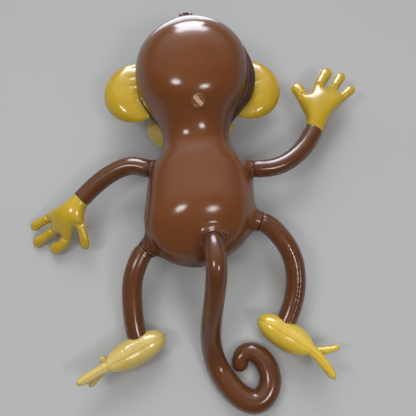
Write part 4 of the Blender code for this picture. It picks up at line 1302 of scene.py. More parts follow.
def cut_at_wrist(skin, side):
    """The hand's skin ends flat at the wrist, where the arm's end meets it."""
    place, ahead = wrists[side]
    made = skin.object(f"vinyl_hand_{side}")
    bm = bmesh.new()
    bm.from_mesh(made.data)
    everything = bm.verts[:] + bm.edges[:] + bm.faces[:]
    point = Vector(place + ahead * WELD_GAP + SHIFT)
    cut = bmesh.ops.bisect_plane(bm, geom=everything, plane_co=point, plane_no=ahead, clear_inner=True)
    bmesh.ops.holes_fill(bm, edges=[e for e in cut["geom_cut"] if isinstance(e, bmesh.types.BMEdge)])
    bmesh.ops.recalc_face_normals(bm, faces=bm.faces)
    bm.to_mesh(made.data)
    bm.free()
    made.data.shade_smooth()
    return made


hand_pieces = {}
for side in SIDES:
    hand_pieces[side] = cut_at_wrist(hand_skin(side), side)
    print("hand", side, "has", len(hand_pieces[side].data.polygons), "faces")

# %% [markdown]
# Feet
#
# A foot is a pillow that stands on its edge, so from above its welded rim runs along the top like a keel. The
# toes bend out of the plate, each its own way, which makes them look like loose leaves from above.

# %% Foot shapes
FOOT_LENGTH = 0.143
FOOT_THICKNESS = 0.045
FOOT_CELL = 0.0021
FLOOR_PRESS = 0.001
FOOT_SEEDS = {"left": 121, "right": 131}
FOOT_FOLDS = (0.0009, 0.0048, 0.0034)
FOOT_RIM, FOOT_RIM_WAVE = 0.0009, 0.0002
# Each toe: where it leaves the foot, its tip and its width; the big toe comes first and is uppermost
FOOT_TOES = {
    "left": (
        ((0.63, 0.172), (1.00, 0.194), 0.106),
        ((0.66, 0.055), (0.925, 0.075), 0.084),
        ((0.62, -0.055), (0.80, -0.050), 0.088),
        ((0.57, -0.165), (0.73, -0.185), 0.095),
    ),
    "right": (
        ((0.60, 0.172), (0.960, 0.194), 0.106),
        ((0.62, 0.055), (0.875, 0.075), 0.084),
        ((0.62, -0.055), (0.80, -0.050), 0.088),
        ((0.57, -0.165), (0.73, -0.185), 0.095),
    ),
}
FOOT_SIDE_BEFORE = ((0.0, -0.055), (0.0, 0.055), (0.05, 0.125), (0.16, 0.165), (0.30, 0.175), (0.46, 0.215))
FOOT_SIDE_AFTER = ((0.46, -0.225), (0.30, -0.185), (0.16, -0.165), (0.05, -0.125))
FOOT_DIRECTIONS = {"left": (-0.907, -0.420, 0.0), "right": (0.820, -0.572, 0.0)}
ANKLE_SHARE = 0.27
# How far each toe's tip bends out of the plate, and how far it curls round, in radians
TOE_BENDS = {"left": (-0.002, -0.014, 0.0, 0.0), "right": (0.018, -0.028, -0.009, 0.004)}
TOE_CURLS = {"left": (0.01, 0.01, 2.1, 2.3), "right": (0.01, 0.01, 0.01, 0.01)}
# The crease at a toe's root and at its knuckle: how far along, half its span in toe widths, depth and width
TOE_CREASE_AHEAD = 0.02
TOE_CREASE_SPAN = 0.5
TOE_CREASE = (0.0020, 0.0026)
KNUCKLE_PLACE = 0.74
KNUCKLE_SPAN = 0.45
KNUCKLE_DEPTH = {"left": 0.0003, "right": 0.0014}
KNUCKLE_WIDTH = 0.0010


def foot_skin(side):
    """The foot on its edge under its ankle, each toe bent and curled its own way."""
    toes = FOOT_TOES[side]
    outline = np.array(fingered_outline(FOOT_SIDE_BEFORE, toes, FOOT_SIDE_AFTER))
    across = FOOT_WIDTH / (outline[:, 1].max() - outline[:, 1].min())
    scale = np.array([FOOT_LENGTH, across])
    pillow = Pillow(outline * scale, FOOT_THICKNESS, FOOT_CELL, FOOT_SEEDS[side], *FOOT_FOLDS)

    def crease_across(place, half_span, depth, width):
        pillow.crease([(place + [0.0, s * half_span]) * scale for s in (-1, 0, 1)], depth, width)

    for root, tip, width in toes:
        root, tip = np.array(root), np.array(tip)
        crease_across(root + [TOE_CREASE_AHEAD, 0.0], TOE_CREASE_SPAN * width, *TOE_CREASE)
        knuckle = root + KNUCKLE_PLACE * (tip - root)
        crease_across(knuckle, KNUCKLE_SPAN * width, KNUCKLE_DEPTH[side], KNUCKLE_WIDTH)
    middles = np.array([0.5 * across * (root[1] + tip[1]) for root, tip, _ in toes])
    starts = np.array([root[0] for root, _, _ in toes])
    spans = np.array([tip[0] - root[0] for root, tip, _ in toes])
    bends, curls = np.array(TOE_BENDS[side]), np.array(TOE_CURLS[side])
    upward = Vector((0.0, 0.0, 1.0))
    ahead = Vector(FOOT_DIRECTIONS[side]).normalized()
    axes = np.array([ahead, upward, ahead.cross(upward)]).T
    heel = ankles[side] - np.array(ahead) * ANKLE_SHARE * FOOT_LENGTH
    start = np.array([heel[0], heel[1], -pillow.loop[:, 1].min() - FLOOR_PRESS])

    def shape(points):
        points = points.copy()
        toe = np.abs(points[:, 1:2] - middles).argmin(1)
        share = np.maximum(0.0, (points[:, 0] / FOOT_LENGTH - starts[toe]) / spans[toe])
        turn, radius = share * curls[toe], FOOT_LENGTH * spans[toe] / curls[toe]
        lean = turn + np.arctan(1.5 * bends[toe] * np.sqrt(share) / (FOOT_LENGTH * spans[toe]))
        off = points[:, 2].copy()
        points[:, 0] += radius * (np.sin(turn) - turn) - off * np.sin(lean)
        points[:, 2] = off * np.cos(lean) + radius * (1.0 - np.cos(turn)) + bends[toe] * share**1.5
        made = points @ axes.T + start
        made[:, 2] = np.maximum(made[:, 2], 0.0)
        return made

    return pillow.skin(shape, FOOT_RIM, FOOT_RIM_WAVE)


foot_pieces, leg_pieces = {}, {}
for side in SIDES:
    skin = foot_skin(side)
    foot_pieces[side] = skin.object(f"vinyl_foot_{side}")
    socket = object_of(*skin.shells[0], "socket")
    leg_pieces[side] = leg_skins[side].object(f"vinyl_leg_{side}", clear_of=[socket])
    drop(socket)
    print("foot", side, "has", len(foot_pieces[side].data.polygons), "faces")


# %% A plain copy of the big chamber, to cut its neighbours with
coarse = settled_body[::2, ::4]
cutter_skin = Skin()
cutter_skin.add_rings(coarse + WELD_GAP * grid_normals(coarse))
body_cutter = object_of(*cutter_skin.shells[0], "cutter")
print("cutter has", len(body_cutter.data.polygons), "faces")

# %% [markdown]
# Ears and muzzle
#
# These are round and oval pillows. The height of a blown-up oval has a plain formula, so no equations have to
# be solved: rings run from the middle to the rim, and the folds run straight in from the rim. Its edge is
# scalloped, because each fold pulls the rim in a little. The side of the head takes away the inner part.

# %% A blown-up oval
OVAL_RINGS = 44
OVAL_SIDES = 220
OVAL_FULLNESS = 0.58
SCALLOP = 0.014
# The folds grow over this distance from the rim, from a start that isn't quite nothing
OVAL_FOLD_RUN = 0.004
OVAL_FOLD_START = 0.15
OVAL_FIN = 0.0006
OVAL_FIN_WAVE = 0.0003
OVAL_FIN_PITCH = 0.0062


def oval(width, height, thickness, seed, fold_depth, fold_pitch, fold_reach):
    """Upper and lower sheets as one grid of rings, from the top's middle over the rim to the bottom's.

    The rim's fin is part of the width and the height.
    """
    width, height = width - OVAL_FIN, height - OVAL_FIN
    a, b = 0.5 * width, 0.5 * height
    share = np.sin(0.5 * math.pi * np.linspace(0.02, 1.0, OVAL_RINGS))[:, None]
    turn = 2.0 * math.pi * np.arange(OVAL_SIDES)[None, :] / OVAL_SIDES
    length = 2.0 * math.pi * math.sqrt(0.5 * (a * a + b * b))
    along = turn * length / (2.0 * math.pi)
    away = (1.0 - share) * min(a, b)
    rise = 0.5 * thickness * np.maximum(1.0 - share**2, 0.0) ** OVAL_FULLNESS
    pulled = Folds(length, fold_pitch, seed, wraps=True).at(along, away, 0.5 * fold_reach)
    scallop = 1.0 - SCALLOP * pulled
    x, y = a * share * scallop * np.cos(turn), b * share * scallop * np.sin(turn)
    sheets = []
    for k in (0, 1):
        folds = Folds(length, fold_pitch, seed + k, wraps=True)
        grown = ease(away / OVAL_FOLD_RUN + OVAL_FOLD_START)
        lifted = rise - fold_depth * folds.at(along, away, fold_reach) * grown
        sheets.append(np.stack([x, y, np.maximum(lifted, 0.0) * (1 - 2 * k)], axis=-1))
    return np.concatenate([sheets[0], sheets[1][:-1][::-1]])


def oval_skin(grid, place, droop=0.0):
    """An oval's skin and fin, put in place and turned down on one side."""
    turn = Matrix.Rotation(droop, 3, "Y").to_quaternion().to_matrix()
    placed = grid @ np.array(turn).T + place
    skin = Skin()
    skin.add_rings(placed)
    edge = placed[OVAL_RINGS - 1]
    fin(skin, edge, unit(edge - edge.mean(0)), OVAL_FIN, OVAL_FIN_WAVE, OVAL_FIN_PITCH, closed=True)
    return skin


print("points in the skin of an oval:", (2 * OVAL_RINGS - 1) * OVAL_SIDES)

# %% Ears
EAR_DIAMETER = 0.0975
EAR_THICKNESS = 0.038
EAR_PLACES = {"left": (-0.544, 0.733), "right": (0.520, 0.722)}
EAR_LIFT_BELOW_SEAM = 0.028
EAR_DROOP = math.radians(8)
EAR_SEEDS = {"left": 141, "right": 151}
EAR_FOLDS = (0.0008, 0.0052, 0.0055)
# At the head the sheets keep this share of their rise, and are whole again this far from it
ROOT_PINCH_SHARE = 0.60
ROOT_PINCH_WIDTH = 0.032
ROOT_CREASE_DEPTH = 0.0015
ROOT_CREASE_PITCH = 0.0125
ROOT_CREASE_REACH = 0.009
LEAST_PINCHED = 0.25


def gap_to_head(point):
    """How far a point is outside the side of the head; 0 inside it."""
    near = settled_tree.find_nearest(point)[0]
    away = point - near
    return away.length if away.x * point.x > 0.0 and abs(point.x) > abs(near.x) else 0.0


def pinched(grid, place, seed):
    """The ear's sheets drawn together and creased where the ear is welded to the head."""
    flat = grid[..., :2] + place[:2]
    gap = np.array([[gap_to_head(Vector((x, y, place[2]))) for x, y in ring] for ring in flat])
    hold = ROOT_PINCH_SHARE + (1.0 - ROOT_PINCH_SHARE) * ease(gap / ROOT_PINCH_WIDTH)
    along = grid[..., 1] + 0.5 * EAR_DIAMETER
    creases = Folds(EAR_DIAMETER, ROOT_CREASE_PITCH, seed).at(along, gap, ROOT_CREASE_REACH)
    held = np.abs(grid[..., 2]) * hold
    rise = np.maximum(held - ROOT_CREASE_DEPTH * creases, LEAST_PINCHED * held)
    return np.concatenate([grid[..., :2], (np.sign(grid[..., 2]) * rise)[..., None]], axis=-1)


ear_pieces = {}
for side in SIDES:
    x, y = on_body(EAR_PLACES[side], HEAD_WIDTH)
    place = np.array([x, y, HEAD_LIFT - EAR_LIFT_BELOW_SEAM])
    grid = oval(EAR_DIAMETER, EAR_DIAMETER, EAR_THICKNESS, EAR_SEEDS[side], *EAR_FOLDS)
    skin = oval_skin(pinched(grid, place, EAR_SEEDS[side] + 2), place, math.copysign(EAR_DROOP, x))
    ear_pieces[side] = skin.object(f"vinyl_ear_{side}", clear_of=[body_cutter])
    print("ear", side, "has", len(ear_pieces[side].data.polygons), "faces")

# %% Muzzle
MUZZLE_WIDTH = 0.143
MUZZLE_HEIGHT = 0.098
MUZZLE_THICKNESS = 0.046
MUZZLE_SEED = 161
MUZZLE_FOLDS = (0.0010, 0.0060, 0.008)
x, y = on_body(MUZZLE_PLACE, HEAD_WIDTH)
grid = oval(MUZZLE_WIDTH, MUZZLE_HEIGHT, MUZZLE_THICKNESS, MUZZLE_SEED, *MUZZLE_FOLDS)
skin = oval_skin(grid, np.array([x, y, 0.5 * MUZZLE_THICKNESS - FLOOR_PRESS]))
muzzle_piece = skin.object("vinyl_muzzle", clear_of=[body_cutter])
print("muzzle has", len(muzzle_piece.data.polygons), "faces")

# %% [markdown]
# Hair tuft
#
# A small flat pillow with three lobes is welded into the seam at the crown. It is cut from an outline as the
# hands are, with lobes for fingers, and the head takes away the end that goes into the seam.

# %% Tuft
TUFT_WIDTH = 0.022
TUFT_THICKNESS = 0.012
TUFT_CELL = 0.0011
TUFT_PLACE = (-0.030, 1.017)
TUFT_SEED = 171
TUFT_FOLDS = (0.0002, 0.003, 0.003)
TUFT_RIM, TUFT_RIM_WAVE = 0.0008, 0.0001
# Root, tip and width of each lobe, and the two sides of the tab, in shares of the tuft's width
TUFT_LOBES = [((0.0, s), (0.50 - 0.3 * abs(s), 1.1 * s), 0.36) for s in (0.27, 0.0, -0.27)]
TAB_BEFORE, TAB_AFTER = ((-0.9, 0.25), (-0.3, 0.45)), ((-0.3, -0.45), (-0.9, -0.25))

outline = np.array(fingered_outline(TAB_BEFORE, TUFT_LOBES, TAB_AFTER)) * TUFT_WIDTH
tuft = Pillow(outline, TUFT_THICKNESS, TUFT_CELL, TUFT_SEED, *TUFT_FOLDS)
axes, start = standing_frame((*on_body(TUFT_PLACE, HEAD_WIDTH), HEAD_LIFT), (0, 1, 0), (0, 0, 1))
tuft_skin = tuft.skin(lambda points: points @ axes.T + start, TUFT_RIM, TUFT_RIM_WAVE)
tuft_piece = tuft_skin.object("vinyl_hair_tuft", clear_of=[body_cutter])
drop(body_cutter)
print("tuft has", len(tuft_piece.data.polygons), "faces")

# %% [markdown]
# Filling valve
#
# The valve is a disc welded to the back of the head, with low rings pressed into it, and a soft stem. When
# the toy is full the stem's cap is pushed in and folded down flat over the disc. Disc and stem are two skins
# of one moulding, and they stand for one node. The disc can't be a plain flat one, because the head is round
# under it, so each of its points is dropped on the head.

# %% Where the valve sits
VALVE_PLACE = (0.037, 0.6035)
ABOVE_ALL = 0.5
chamber_tree = tree_of(chamber)


def over_head(x, y):
    """The point of the head's back straight below a point of the drawing, and the way out of it."""
    place, normal, _, _ = chamber_tree.ray_cast(Vector((x, y, ABOVE_ALL)), Vector((0.0, 0.0, -1.0)))
    return place, normal if normal.z > 0.0 else -normal


seat, valve_up = over_head(*on_body(VALVE_PLACE, HEAD_WIDTH))
valve_axes, valve_start = standing_frame(seat, Vector((1.0, 0.0, 0.0)) - valve_up * valve_up.x, valve_up)
print("valve seat at, mm:", [round(1000 * c, 1) for c in seat])

# %% Valve disc
VALVE_DIAMETER = 0.022
DISC_RINGS = 46
DISC_SIDES = 96
DISC_RISE = 0.0007
DISC_DEPTH = 0.0022
# Low rings pressed into the outer part, a bead near the rim and a shallow bowl in the middle
RIPPLE_RISE, RIPPLES, RIPPLE_START = 0.00022, 4.5, 0.45
DISC_BEAD_RISE, DISC_BEAD_PLACE, DISC_BEAD_WIDTH = 0.0012, 0.90, 0.045
BOWL_DEPTH, BOWL_START, BOWL_RUN = 0.0004, 0.3, 0.3
# The outermost ring is sunk, so that the disc closes against the head
SUNK_FROM, SUNK_DEPTH = 0.99, 0.0004


def disc_height(share):
    """How far the disc stands off the head at a share of its radius."""
    if share >= SUNK_FROM:
        return -SUNK_DEPTH
    ripple = RIPPLE_RISE * math.cos(2.0 * math.pi * share * RIPPLES) * (share > RIPPLE_START)
    bead = DISC_BEAD_RISE * hump(share, DISC_BEAD_PLACE, DISC_BEAD_WIDTH)
    bowl = BOWL_DEPTH * (1.0 - ease((share - BOWL_START) / BOWL_RUN))
    return DISC_RISE + ripple + bead - bowl


def valve_disc():
    """The disc hugs the head: each of its points is dropped on the head and lifted by its own profile."""
    turns = 2.0 * math.pi * np.arange(DISC_SIDES) / DISC_SIDES
    rings = []
    for share in np.linspace(0.02, 1.0, DISC_RINGS):
        ring = []
        for u, v in 0.5 * VALVE_DIAMETER * share * np.column_stack([np.cos(turns), np.sin(turns)]):
            flat = valve_axes @ np.array([u, v, 0.0]) + valve_start
            place, normal = over_head(flat[0], flat[1])
            ring.append(np.array(place + normal * float(disc_height(share))))
        rings.append(ring)
    grid = np.array(rings)
    return np.concatenate([grid, grid[::-1] - DISC_DEPTH * np.array(valve_up)])


disc_skin = Skin()
disc_skin.add_rings(valve_disc())
valve_disc_piece = disc_skin.object("valve_disc")
print("valve disc has", len(valve_disc_piece.data.polygons), "faces")

# %% Valve stem
STEM_TURN = math.radians(-54)
STEM_LENGTH = 0.0185
STEM_WIDTH = 0.0068
STEM_HEIGHT = 0.0030
STEM_LIFT = 0.0021
STEM_RINGS = 84
STEM_SIDES = 40
# How blunt its ends are, and how square its section
END_POWER = 9
SECTION_POWER = 0.7
# Along the stem: a waist, then the thicker plug, and before them the ribs and the dent
WAIST_DEPTH, WAIST_PLACE, WAIST_WIDTH = 0.07, 0.66, 0.04
PLUG_RISE, PLUG_START, PLUG_RUN = 0.08, 0.70, 0.08
RIB_RISE, RIBS, RIBS_FROM, RIBS_TO = 0.00022, 8.0, 0.14, 0.62
DENT_DEPTH, DENT_WIDTH, DENT_FROM, DENT_TO = 0.0006, 0.42, 0.10, 0.64


def squared(value):
    """A sine or cosine that keeps its sign and lingers near 1, which squares a round section."""
    return math.copysign(abs(value) ** SECTION_POWER, value)


def valve_stem():
    """A flattened soft tube with a plug at its lower end, low ribs across it and a dent along its middle."""
    c, s = math.cos(STEM_TURN), math.sin(STEM_TURN)
    rings = []
    for share in np.linspace(0.0, 1.0, STEM_RINGS):
        along = (share - 0.5) * STEM_LENGTH
        round_end = max(0.0, 1.0 - (2.0 * abs(share - 0.5)) ** END_POWER) ** 0.5
        waist = 1.0 - WAIST_DEPTH * hump(share, WAIST_PLACE, WAIST_WIDTH)
        waist += PLUG_RISE * ease((share - PLUG_START) / PLUG_RUN)
        rib = RIB_RISE * math.cos(2.0 * math.pi * share * RIBS) * (RIBS_FROM < share < RIBS_TO)
        ring = []
        for turn in 2.0 * math.pi * np.arange(STEM_SIDES) / STEM_SIDES:
            across, over = squared(math.cos(turn)), squared(math.sin(turn))
            dent = DENT_DEPTH * hump(across, 0.0, DENT_WIDTH) * (DENT_FROM < share < DENT_TO)
            v = 0.5 * STEM_WIDTH * round_end * waist * across
            w = 0.5 * STEM_HEIGHT * round_end * over + (rib - dent) * (over > 0.0)
            ring.append([along * c - v * s, along * s + v * c, STEM_LIFT + w])
        rings.append(ring)
    return np.array(rings) @ valve_axes.T + valve_start


stem_skin = Skin()
stem_skin.add_rings(valve_stem())
valve_stem_piece = stem_skin.object("valve_stem")
print("valve stem has", len(valve_stem_piece.data.polygons), "faces")

# %% [markdown]
# Vinyl
#
# Soft PVC shines in two ways: a fairly sharp highlight, and a weaker and hazier one round it. The first is
# the shader's own roughness, the second its coat, which is weak and a little rougher. The colour is even, but
# never quite: it is thinner and paler where it was stretched, it is painted darker as shade along the seams,
# round the limb roots and on the front panel, and handling leaves it a little duller in patches. Fine bump
# gives the faint orange peel of rolled sheet. Everything is worked out from the object's own coordinates,
# because a picture laid over so many round forms would show where it is cut.

# %% Parts of a shader
NOISE_ROUGHNESS = 0.55


def node(tree, kind, **inputs):
    """A new node with the given values on its inputs."""
    made = tree.nodes.new(kind)
    for name, value in inputs.items():
        made.inputs[name.replace("_", " ")].default_value = value
    return made


def ramp(tree, factor, low, high, from_min=0.0, from_max=1.0):
    """A plain number mapped from one range to another."""
    made = node(tree, "ShaderNodeMapRange", From_Min=from_min, From_Max=from_max, To_Min=low, To_Max=high)
    tree.links.new(factor, made.inputs["Value"])
    return made.outputs["Result"]


def mixed(tree, factor, first, second):
    """Two colours mixed; either may be a plain colour or another node's output."""
    made = tree.nodes.new("ShaderNodeMix")
    made.data_type = "RGBA"
    tree.links.new(factor, made.inputs["Factor"])
    for value, socket in ((first, made.inputs["A"]), (second, made.inputs["B"])):
        if isinstance(value, tuple):
            socket.default_value = (*value, 1.0)
        else:
            tree.links.new(value, socket)
    return made.outputs["Result"]


def noise(tree, coordinates, scale, detail):
    """Clouds of numbers round 0.5, finer with a higher scale."""
    made = node(tree, "ShaderNodeTexNoise", Scale=scale, Detail=detail, Roughness=NOISE_ROUGHNESS)
    tree.links.new(coordinates, made.inputs["Vector"])
    return made.outputs["Fac"]


def joined(tree, operation, first, second):
    """Two numbers multiplied or added."""
    made = tree.nodes.new("ShaderNodeMath")
    made.operation = operation
    tree.links.new(first, made.inputs[0])
    tree.links.new(second, made.inputs[1])
    return made.outputs[0]


print("noise keeps", NOISE_ROUGHNESS, "of its strength from one detail to the next finer one")

# %% Vinyl material
VINYL_IOR = 1.50
COAT_IOR = 1.45
COAT_ROUGHNESS = 0.25
# Scale and detail of the noises: two for the colour, one for handling, two for the bump
CLOUD = (14.0, 4.0)
BLOTCH = (55.0, 5.0)
HANDLING = (22.0, 3.0)
GRAIN = (900.0, 2.0)
PEEL = (120.0, 2.0)
PALE_BLOTCHES = 0.25
HANDLING_GLOSS, HANDLING_DULLNESS = 0.03, 0.05
PEEL_OVER_GRAIN = 2.0
BUMP_STRENGTH = 0.05
BUMP_HEIGHT = 0.0004
# Where the vinyl is slack it is duller and its coat is lost, and the front panel is painted nearly black as
# painted shade
SEAM_DULLNESS = 0.45
SEAM_COAT = 0.10
FRONT_PAINTED_SHADE = (0.030, 0.008, 0.005)


def vinyl(name, middle, deep, pale, roughness=0.16, coat=0.3, stretched=None, prints=(), below=0.0):
    """Glossy soft vinyl of one colour; if a stretched colour is given, paler where stretched and painted dark
    as shade at seams, roots and front panel.
    """
    made = bpy.data.materials.new(name)
    made.use_nodes = True
    tree = made.node_tree
    shader = tree.nodes["Principled BSDF"]
    place = tree.nodes.new("ShaderNodeTexCoord").outputs["Object"]
    colour = mixed(tree, ramp(tree, noise(tree, place, *CLOUD), 0.0, 1.0, 0.35, 0.65), deep, middle)
    if stretched:
        attribute = tree.nodes.new("ShaderNodeAttribute")
        attribute.attribute_name = "stretch_and_shade"
        stretch_and_shade = attribute.outputs["Fac"]
        # Paler where tight, darker towards seams and limb roots: partly slack vinyl, partly painted shade
        colour = mixed(tree, ramp(tree, stretch_and_shade, 0.0, 1.0), colour, stretched)
        # The front panel is painted nearly black, as painted shade
        colour = mixed(tree, ramp(tree, stretch_and_shade, 1.0, 0.0, -1.0, 0.0), colour, FRONT_PAINTED_SHADE)
    blotches = ramp(tree, noise(tree, place, *BLOTCH), 0.0, PALE_BLOTCHES, 0.45, 0.75)
    colour = mixed(tree, blotches, colour, pale)
    if prints:
        colour = printed(tree, place, colour, prints, below)
    tree.links.new(colour, shader.inputs["Base Color"])
    limits = roughness - HANDLING_GLOSS, roughness + HANDLING_DULLNESS
    dullness = ramp(tree, noise(tree, place, *HANDLING), *limits, 0.35, 0.70)
    if stretched:
        dullness = joined(tree, "ADD", dullness, ramp(tree, stretch_and_shade, SEAM_DULLNESS, 0.0, -0.6, 0.55))
        tree.links.new(ramp(tree, stretch_and_shade, SEAM_COAT, coat, -0.2, 0.5), shader.inputs["Coat Weight"])
    tree.links.new(dullness, shader.inputs["Roughness"])
    heights = tree.nodes.new("ShaderNodeMath")
    heights.operation = "MULTIPLY_ADD"
    tree.links.new(noise(tree, place, *PEEL), heights.inputs[0])
    heights.inputs[1].default_value = PEEL_OVER_GRAIN
    tree.links.new(noise(tree, place, *GRAIN), heights.inputs[2])
    bump = node(tree, "ShaderNodeBump", Strength=BUMP_STRENGTH, Distance=BUMP_HEIGHT)
    tree.links.new(heights.outputs[0], bump.inputs["Height"])
    tree.links.new(bump.outputs["Normal"], shader.inputs["Normal"])
    shader.inputs["IOR"].default_value = VINYL_IOR
    shader.inputs["Coat Weight"].default_value = coat
    shader.inputs["Coat Roughness"].default_value = COAT_ROUGHNESS
    shader.inputs["Coat IOR"].default_value = COAT_IOR
    return made


print("vinyl bends light by", VINYL_IOR, "and its coat by", COAT_IOR)

# %% [markdown]
# A plain printed face
#
# The toy lies on its face, so the face isn't seen. A plain one is printed there, flat colour only: two round
# eyes on the front of the head, and two nostrils and a smile on the muzzle. Ink has no height of its own, so
# the prints are ovals worked out in the material, and they need no mesh.

# %% Prints
WHITE_INK = (0.78, 0.78, 0.75)
BLACK_INK = (0.012, 0.010, 0.010)
INK_EDGE = 0.03
FRONT_FADE = 0.002


def printed(tree, place, colour, prints, below):
    """Flat ovals and arcs of ink on the side that faces the floor, below a height.

    Each print has its middle, half sizes, ink, the share of it that is left open inside (0 for a full oval)
    and the y that it stays under, if it is an arc.
    """
    apart = tree.nodes.new("ShaderNodeSeparateXYZ")
    tree.links.new(place, apart.inputs[0])
    front = ramp(tree, apart.outputs["Z"], 1.0, 0.0, below - FRONT_FADE, below)
    for middle, half, ink, open_share, under in prints:
        mapping = tree.nodes.new("ShaderNodeMapping")
        mapping.inputs["Location"].default_value = (-middle[0] / half[0], -middle[1] / half[1], 0.0)
        mapping.inputs["Scale"].default_value = (1.0 / half[0], 1.0 / half[1], 0.0)
        tree.links.new(place, mapping.inputs["Vector"])
        size = tree.nodes.new("ShaderNodeVectorMath")
        size.operation = "LENGTH"
        tree.links.new(mapping.outputs["Vector"], size.inputs[0])
        size = size.outputs["Value"]
        mask = joined(tree, "MULTIPLY", front, ramp(tree, size, 1.0, 0.0, 1.0 - INK_EDGE, 1.0 + INK_EDGE))
        if open_share:
            outside = ramp(tree, size, 0.0, 1.0, open_share - 0.02, open_share)
            lower = ramp(tree, apart.outputs["Y"], 1.0, 0.0, under - 0.0005, under + 0.0005)
            mask = joined(tree, "MULTIPLY", joined(tree, "MULTIPLY", mask, outside), lower)
        colour = mixed(tree, mask, colour, ink)
    return colour


# The white, the pupil and its glint: how far towards the other eye and up, half sizes and ink
EYE_SHARE = 0.826
EYE_SPREAD = 0.025
EYE_PARTS = [
    ((0.0, 0.0), (0.0150, 0.0190), WHITE_INK),
    ((0.003, -0.004), (0.0085, 0.0105), BLACK_INK),
    ((0.001, 0.001), (0.0026, 0.0030), WHITE_INK),
]
muzzle_x, muzzle_y = np.array(on_body(MUZZLE_PLACE, HEAD_WIDTH)) + SHIFT[:2]
eye_y = RUMP_Y + EYE_SHARE * BODY_LENGTH + SHIFT[1]
EYES = [
    ((muzzle_x + side * EYE_SPREAD - side * inward, eye_y + up), half, ink, 0.0, 0.0)
    for side in (-1, 1) for (inward, up), half, ink in EYE_PARTS
]
NOSTRILS = [
    ((muzzle_x + side * 0.010, muzzle_y + 0.016), (0.0032, 0.0045), BLACK_INK, 0.0, 0.0) for side in (-1, 1)
]
SMILE = ((muzzle_x, muzzle_y + 0.010), (0.040, 0.034), BLACK_INK, 0.955, muzzle_y - 0.006)
print("prints on the face:", len(EYES) + len(NOSTRILS) + 1)

# %% [markdown]
# Colours
#
# The big chamber and the limbs are dark brown, and the left foot is a pale gold. The right foot is a paler
# copy of the yellow of the hands and the ears: painted light, for the stronger light that falls on it. Each
# colour has a middle, a deep and a pale shade, and the two noises move between them.

# %% Colours
# The body's brown; its darker seams, limb roots and front panel are partly painted shade
BODY_BROWN = vinyl(
    "stretched brown vinyl", (0.092, 0.028, 0.009), (0.074, 0.022, 0.007), (0.170, 0.062, 0.023),
    stretched=(0.132, 0.042, 0.011), prints=EYES, below=0.7 * HEAD_LIFT,
)
# The valve disc is painted paler than the body's brown, as painted sheen of the light its ripples and bead
# catch
VALVE_BROWN = vinyl(
    "brown vinyl of the valve", (0.230, 0.095, 0.035), (0.190, 0.070, 0.024), (0.290, 0.140, 0.070)
)
LIMB_BROWN = vinyl("slack brown vinyl", (0.098, 0.032, 0.010), (0.080, 0.025, 0.008), (0.130, 0.045, 0.018))
TUFT_BROWN = vinyl(
    "red brown vinyl", (0.085, 0.020, 0.010), (0.060, 0.014, 0.008), (0.120, 0.034, 0.016),
    roughness=0.32, coat=0.1,
)
YELLOW = vinyl("yellow vinyl", (0.445, 0.294, 0.018), (0.390, 0.250, 0.012), (0.515, 0.359, 0.040))
MUZZLE_GOLD = vinyl(
    "printed gold vinyl", (0.505, 0.362, 0.108), (0.445, 0.312, 0.080), (0.575, 0.432, 0.155),
    prints=[*NOSTRILS, SMILE], below=0.5 * MUZZLE_THICKNESS,
)
# The right foot's yellow: the yellow vinyl painted paler, as painted light
LIT_FOOT_YELLOW = vinyl("pale yellow vinyl", (0.575, 0.397, 0.044), (0.505, 0.342, 0.030), (0.655, 0.478, 0.090))
PALE_GOLD = vinyl("pale gold vinyl", (0.530, 0.400, 0.120), (0.465, 0.342, 0.085), (0.620, 0.490, 0.195))
VALVE_PINK = vinyl(
    "pale valve vinyl", (0.520, 0.300, 0.220), (0.430, 0.220, 0.150), (0.640, 0.430, 0.350),
    roughness=0.35, coat=0.4,
)
print("lightest vinyls:", [material.name for material in (LIT_FOOT_YELLOW, PALE_GOLD, VALVE_PINK)])

# %% Dress every piece
DRESS = [
    (body_piece, "head_and_body", "brown_vinyl", BODY_BROWN),
    (tail_piece, "tail", "brown_vinyl", LIMB_BROWN),
    (tuft_piece, "hair_tuft", "brown_vinyl", TUFT_BROWN),
    (muzzle_piece, "muzzle", "pale_gold_vinyl", MUZZLE_GOLD),
    (valve_disc_piece, "valve", "pale_valve_vinyl", VALVE_BROWN),
    (valve_stem_piece, "valve", "pale_valve_vinyl", VALVE_PINK),
]
# The right foot wears the paler copy of the yellow, which is painted light
FOOT_LOOKS = {"left": ("pale_gold_vinyl", PALE_GOLD), "right": ("yellow_vinyl", LIT_FOOT_YELLOW)}
for side in SIDES:
    DRESS += [
        (arm_pieces[side], f"arm_{side}", "brown_vinyl", LIMB_BROWN),
        (leg_pieces[side], f"leg_{side}", "brown_vinyl", LIMB_BROWN),
        (hand_pieces[side], f"hand_{side}", "yellow_vinyl", YELLOW),
        (ear_pieces[side], f"ear_{side}", "yellow_vinyl", YELLOW),
        (foot_pieces[side], f"foot_{side}", *FOOT_LOOKS[side]),
    ]
for piece, place, slot, material in DRESS:
    piece.data.materials.clear()
    piece.data.materials.append(material)
    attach(piece, "root")
    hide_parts(place)
print("dressed", len(DRESS), "pieces")

# %% [markdown]
# Floor, lights and camera
#
# The toy lies on a plain pale floor without a gloss. Two oval lamps hang high on both sides, and their twin
# reflections sit on every round form. A wide window of three panes stands beyond the crown, and the toy also
# mirrors the daylight that the window throws on the floor. Sky light from the window's side and a soft fill
# from the ceiling light the rest. The camera looks down on the toy's back, tipped a little towards the head.

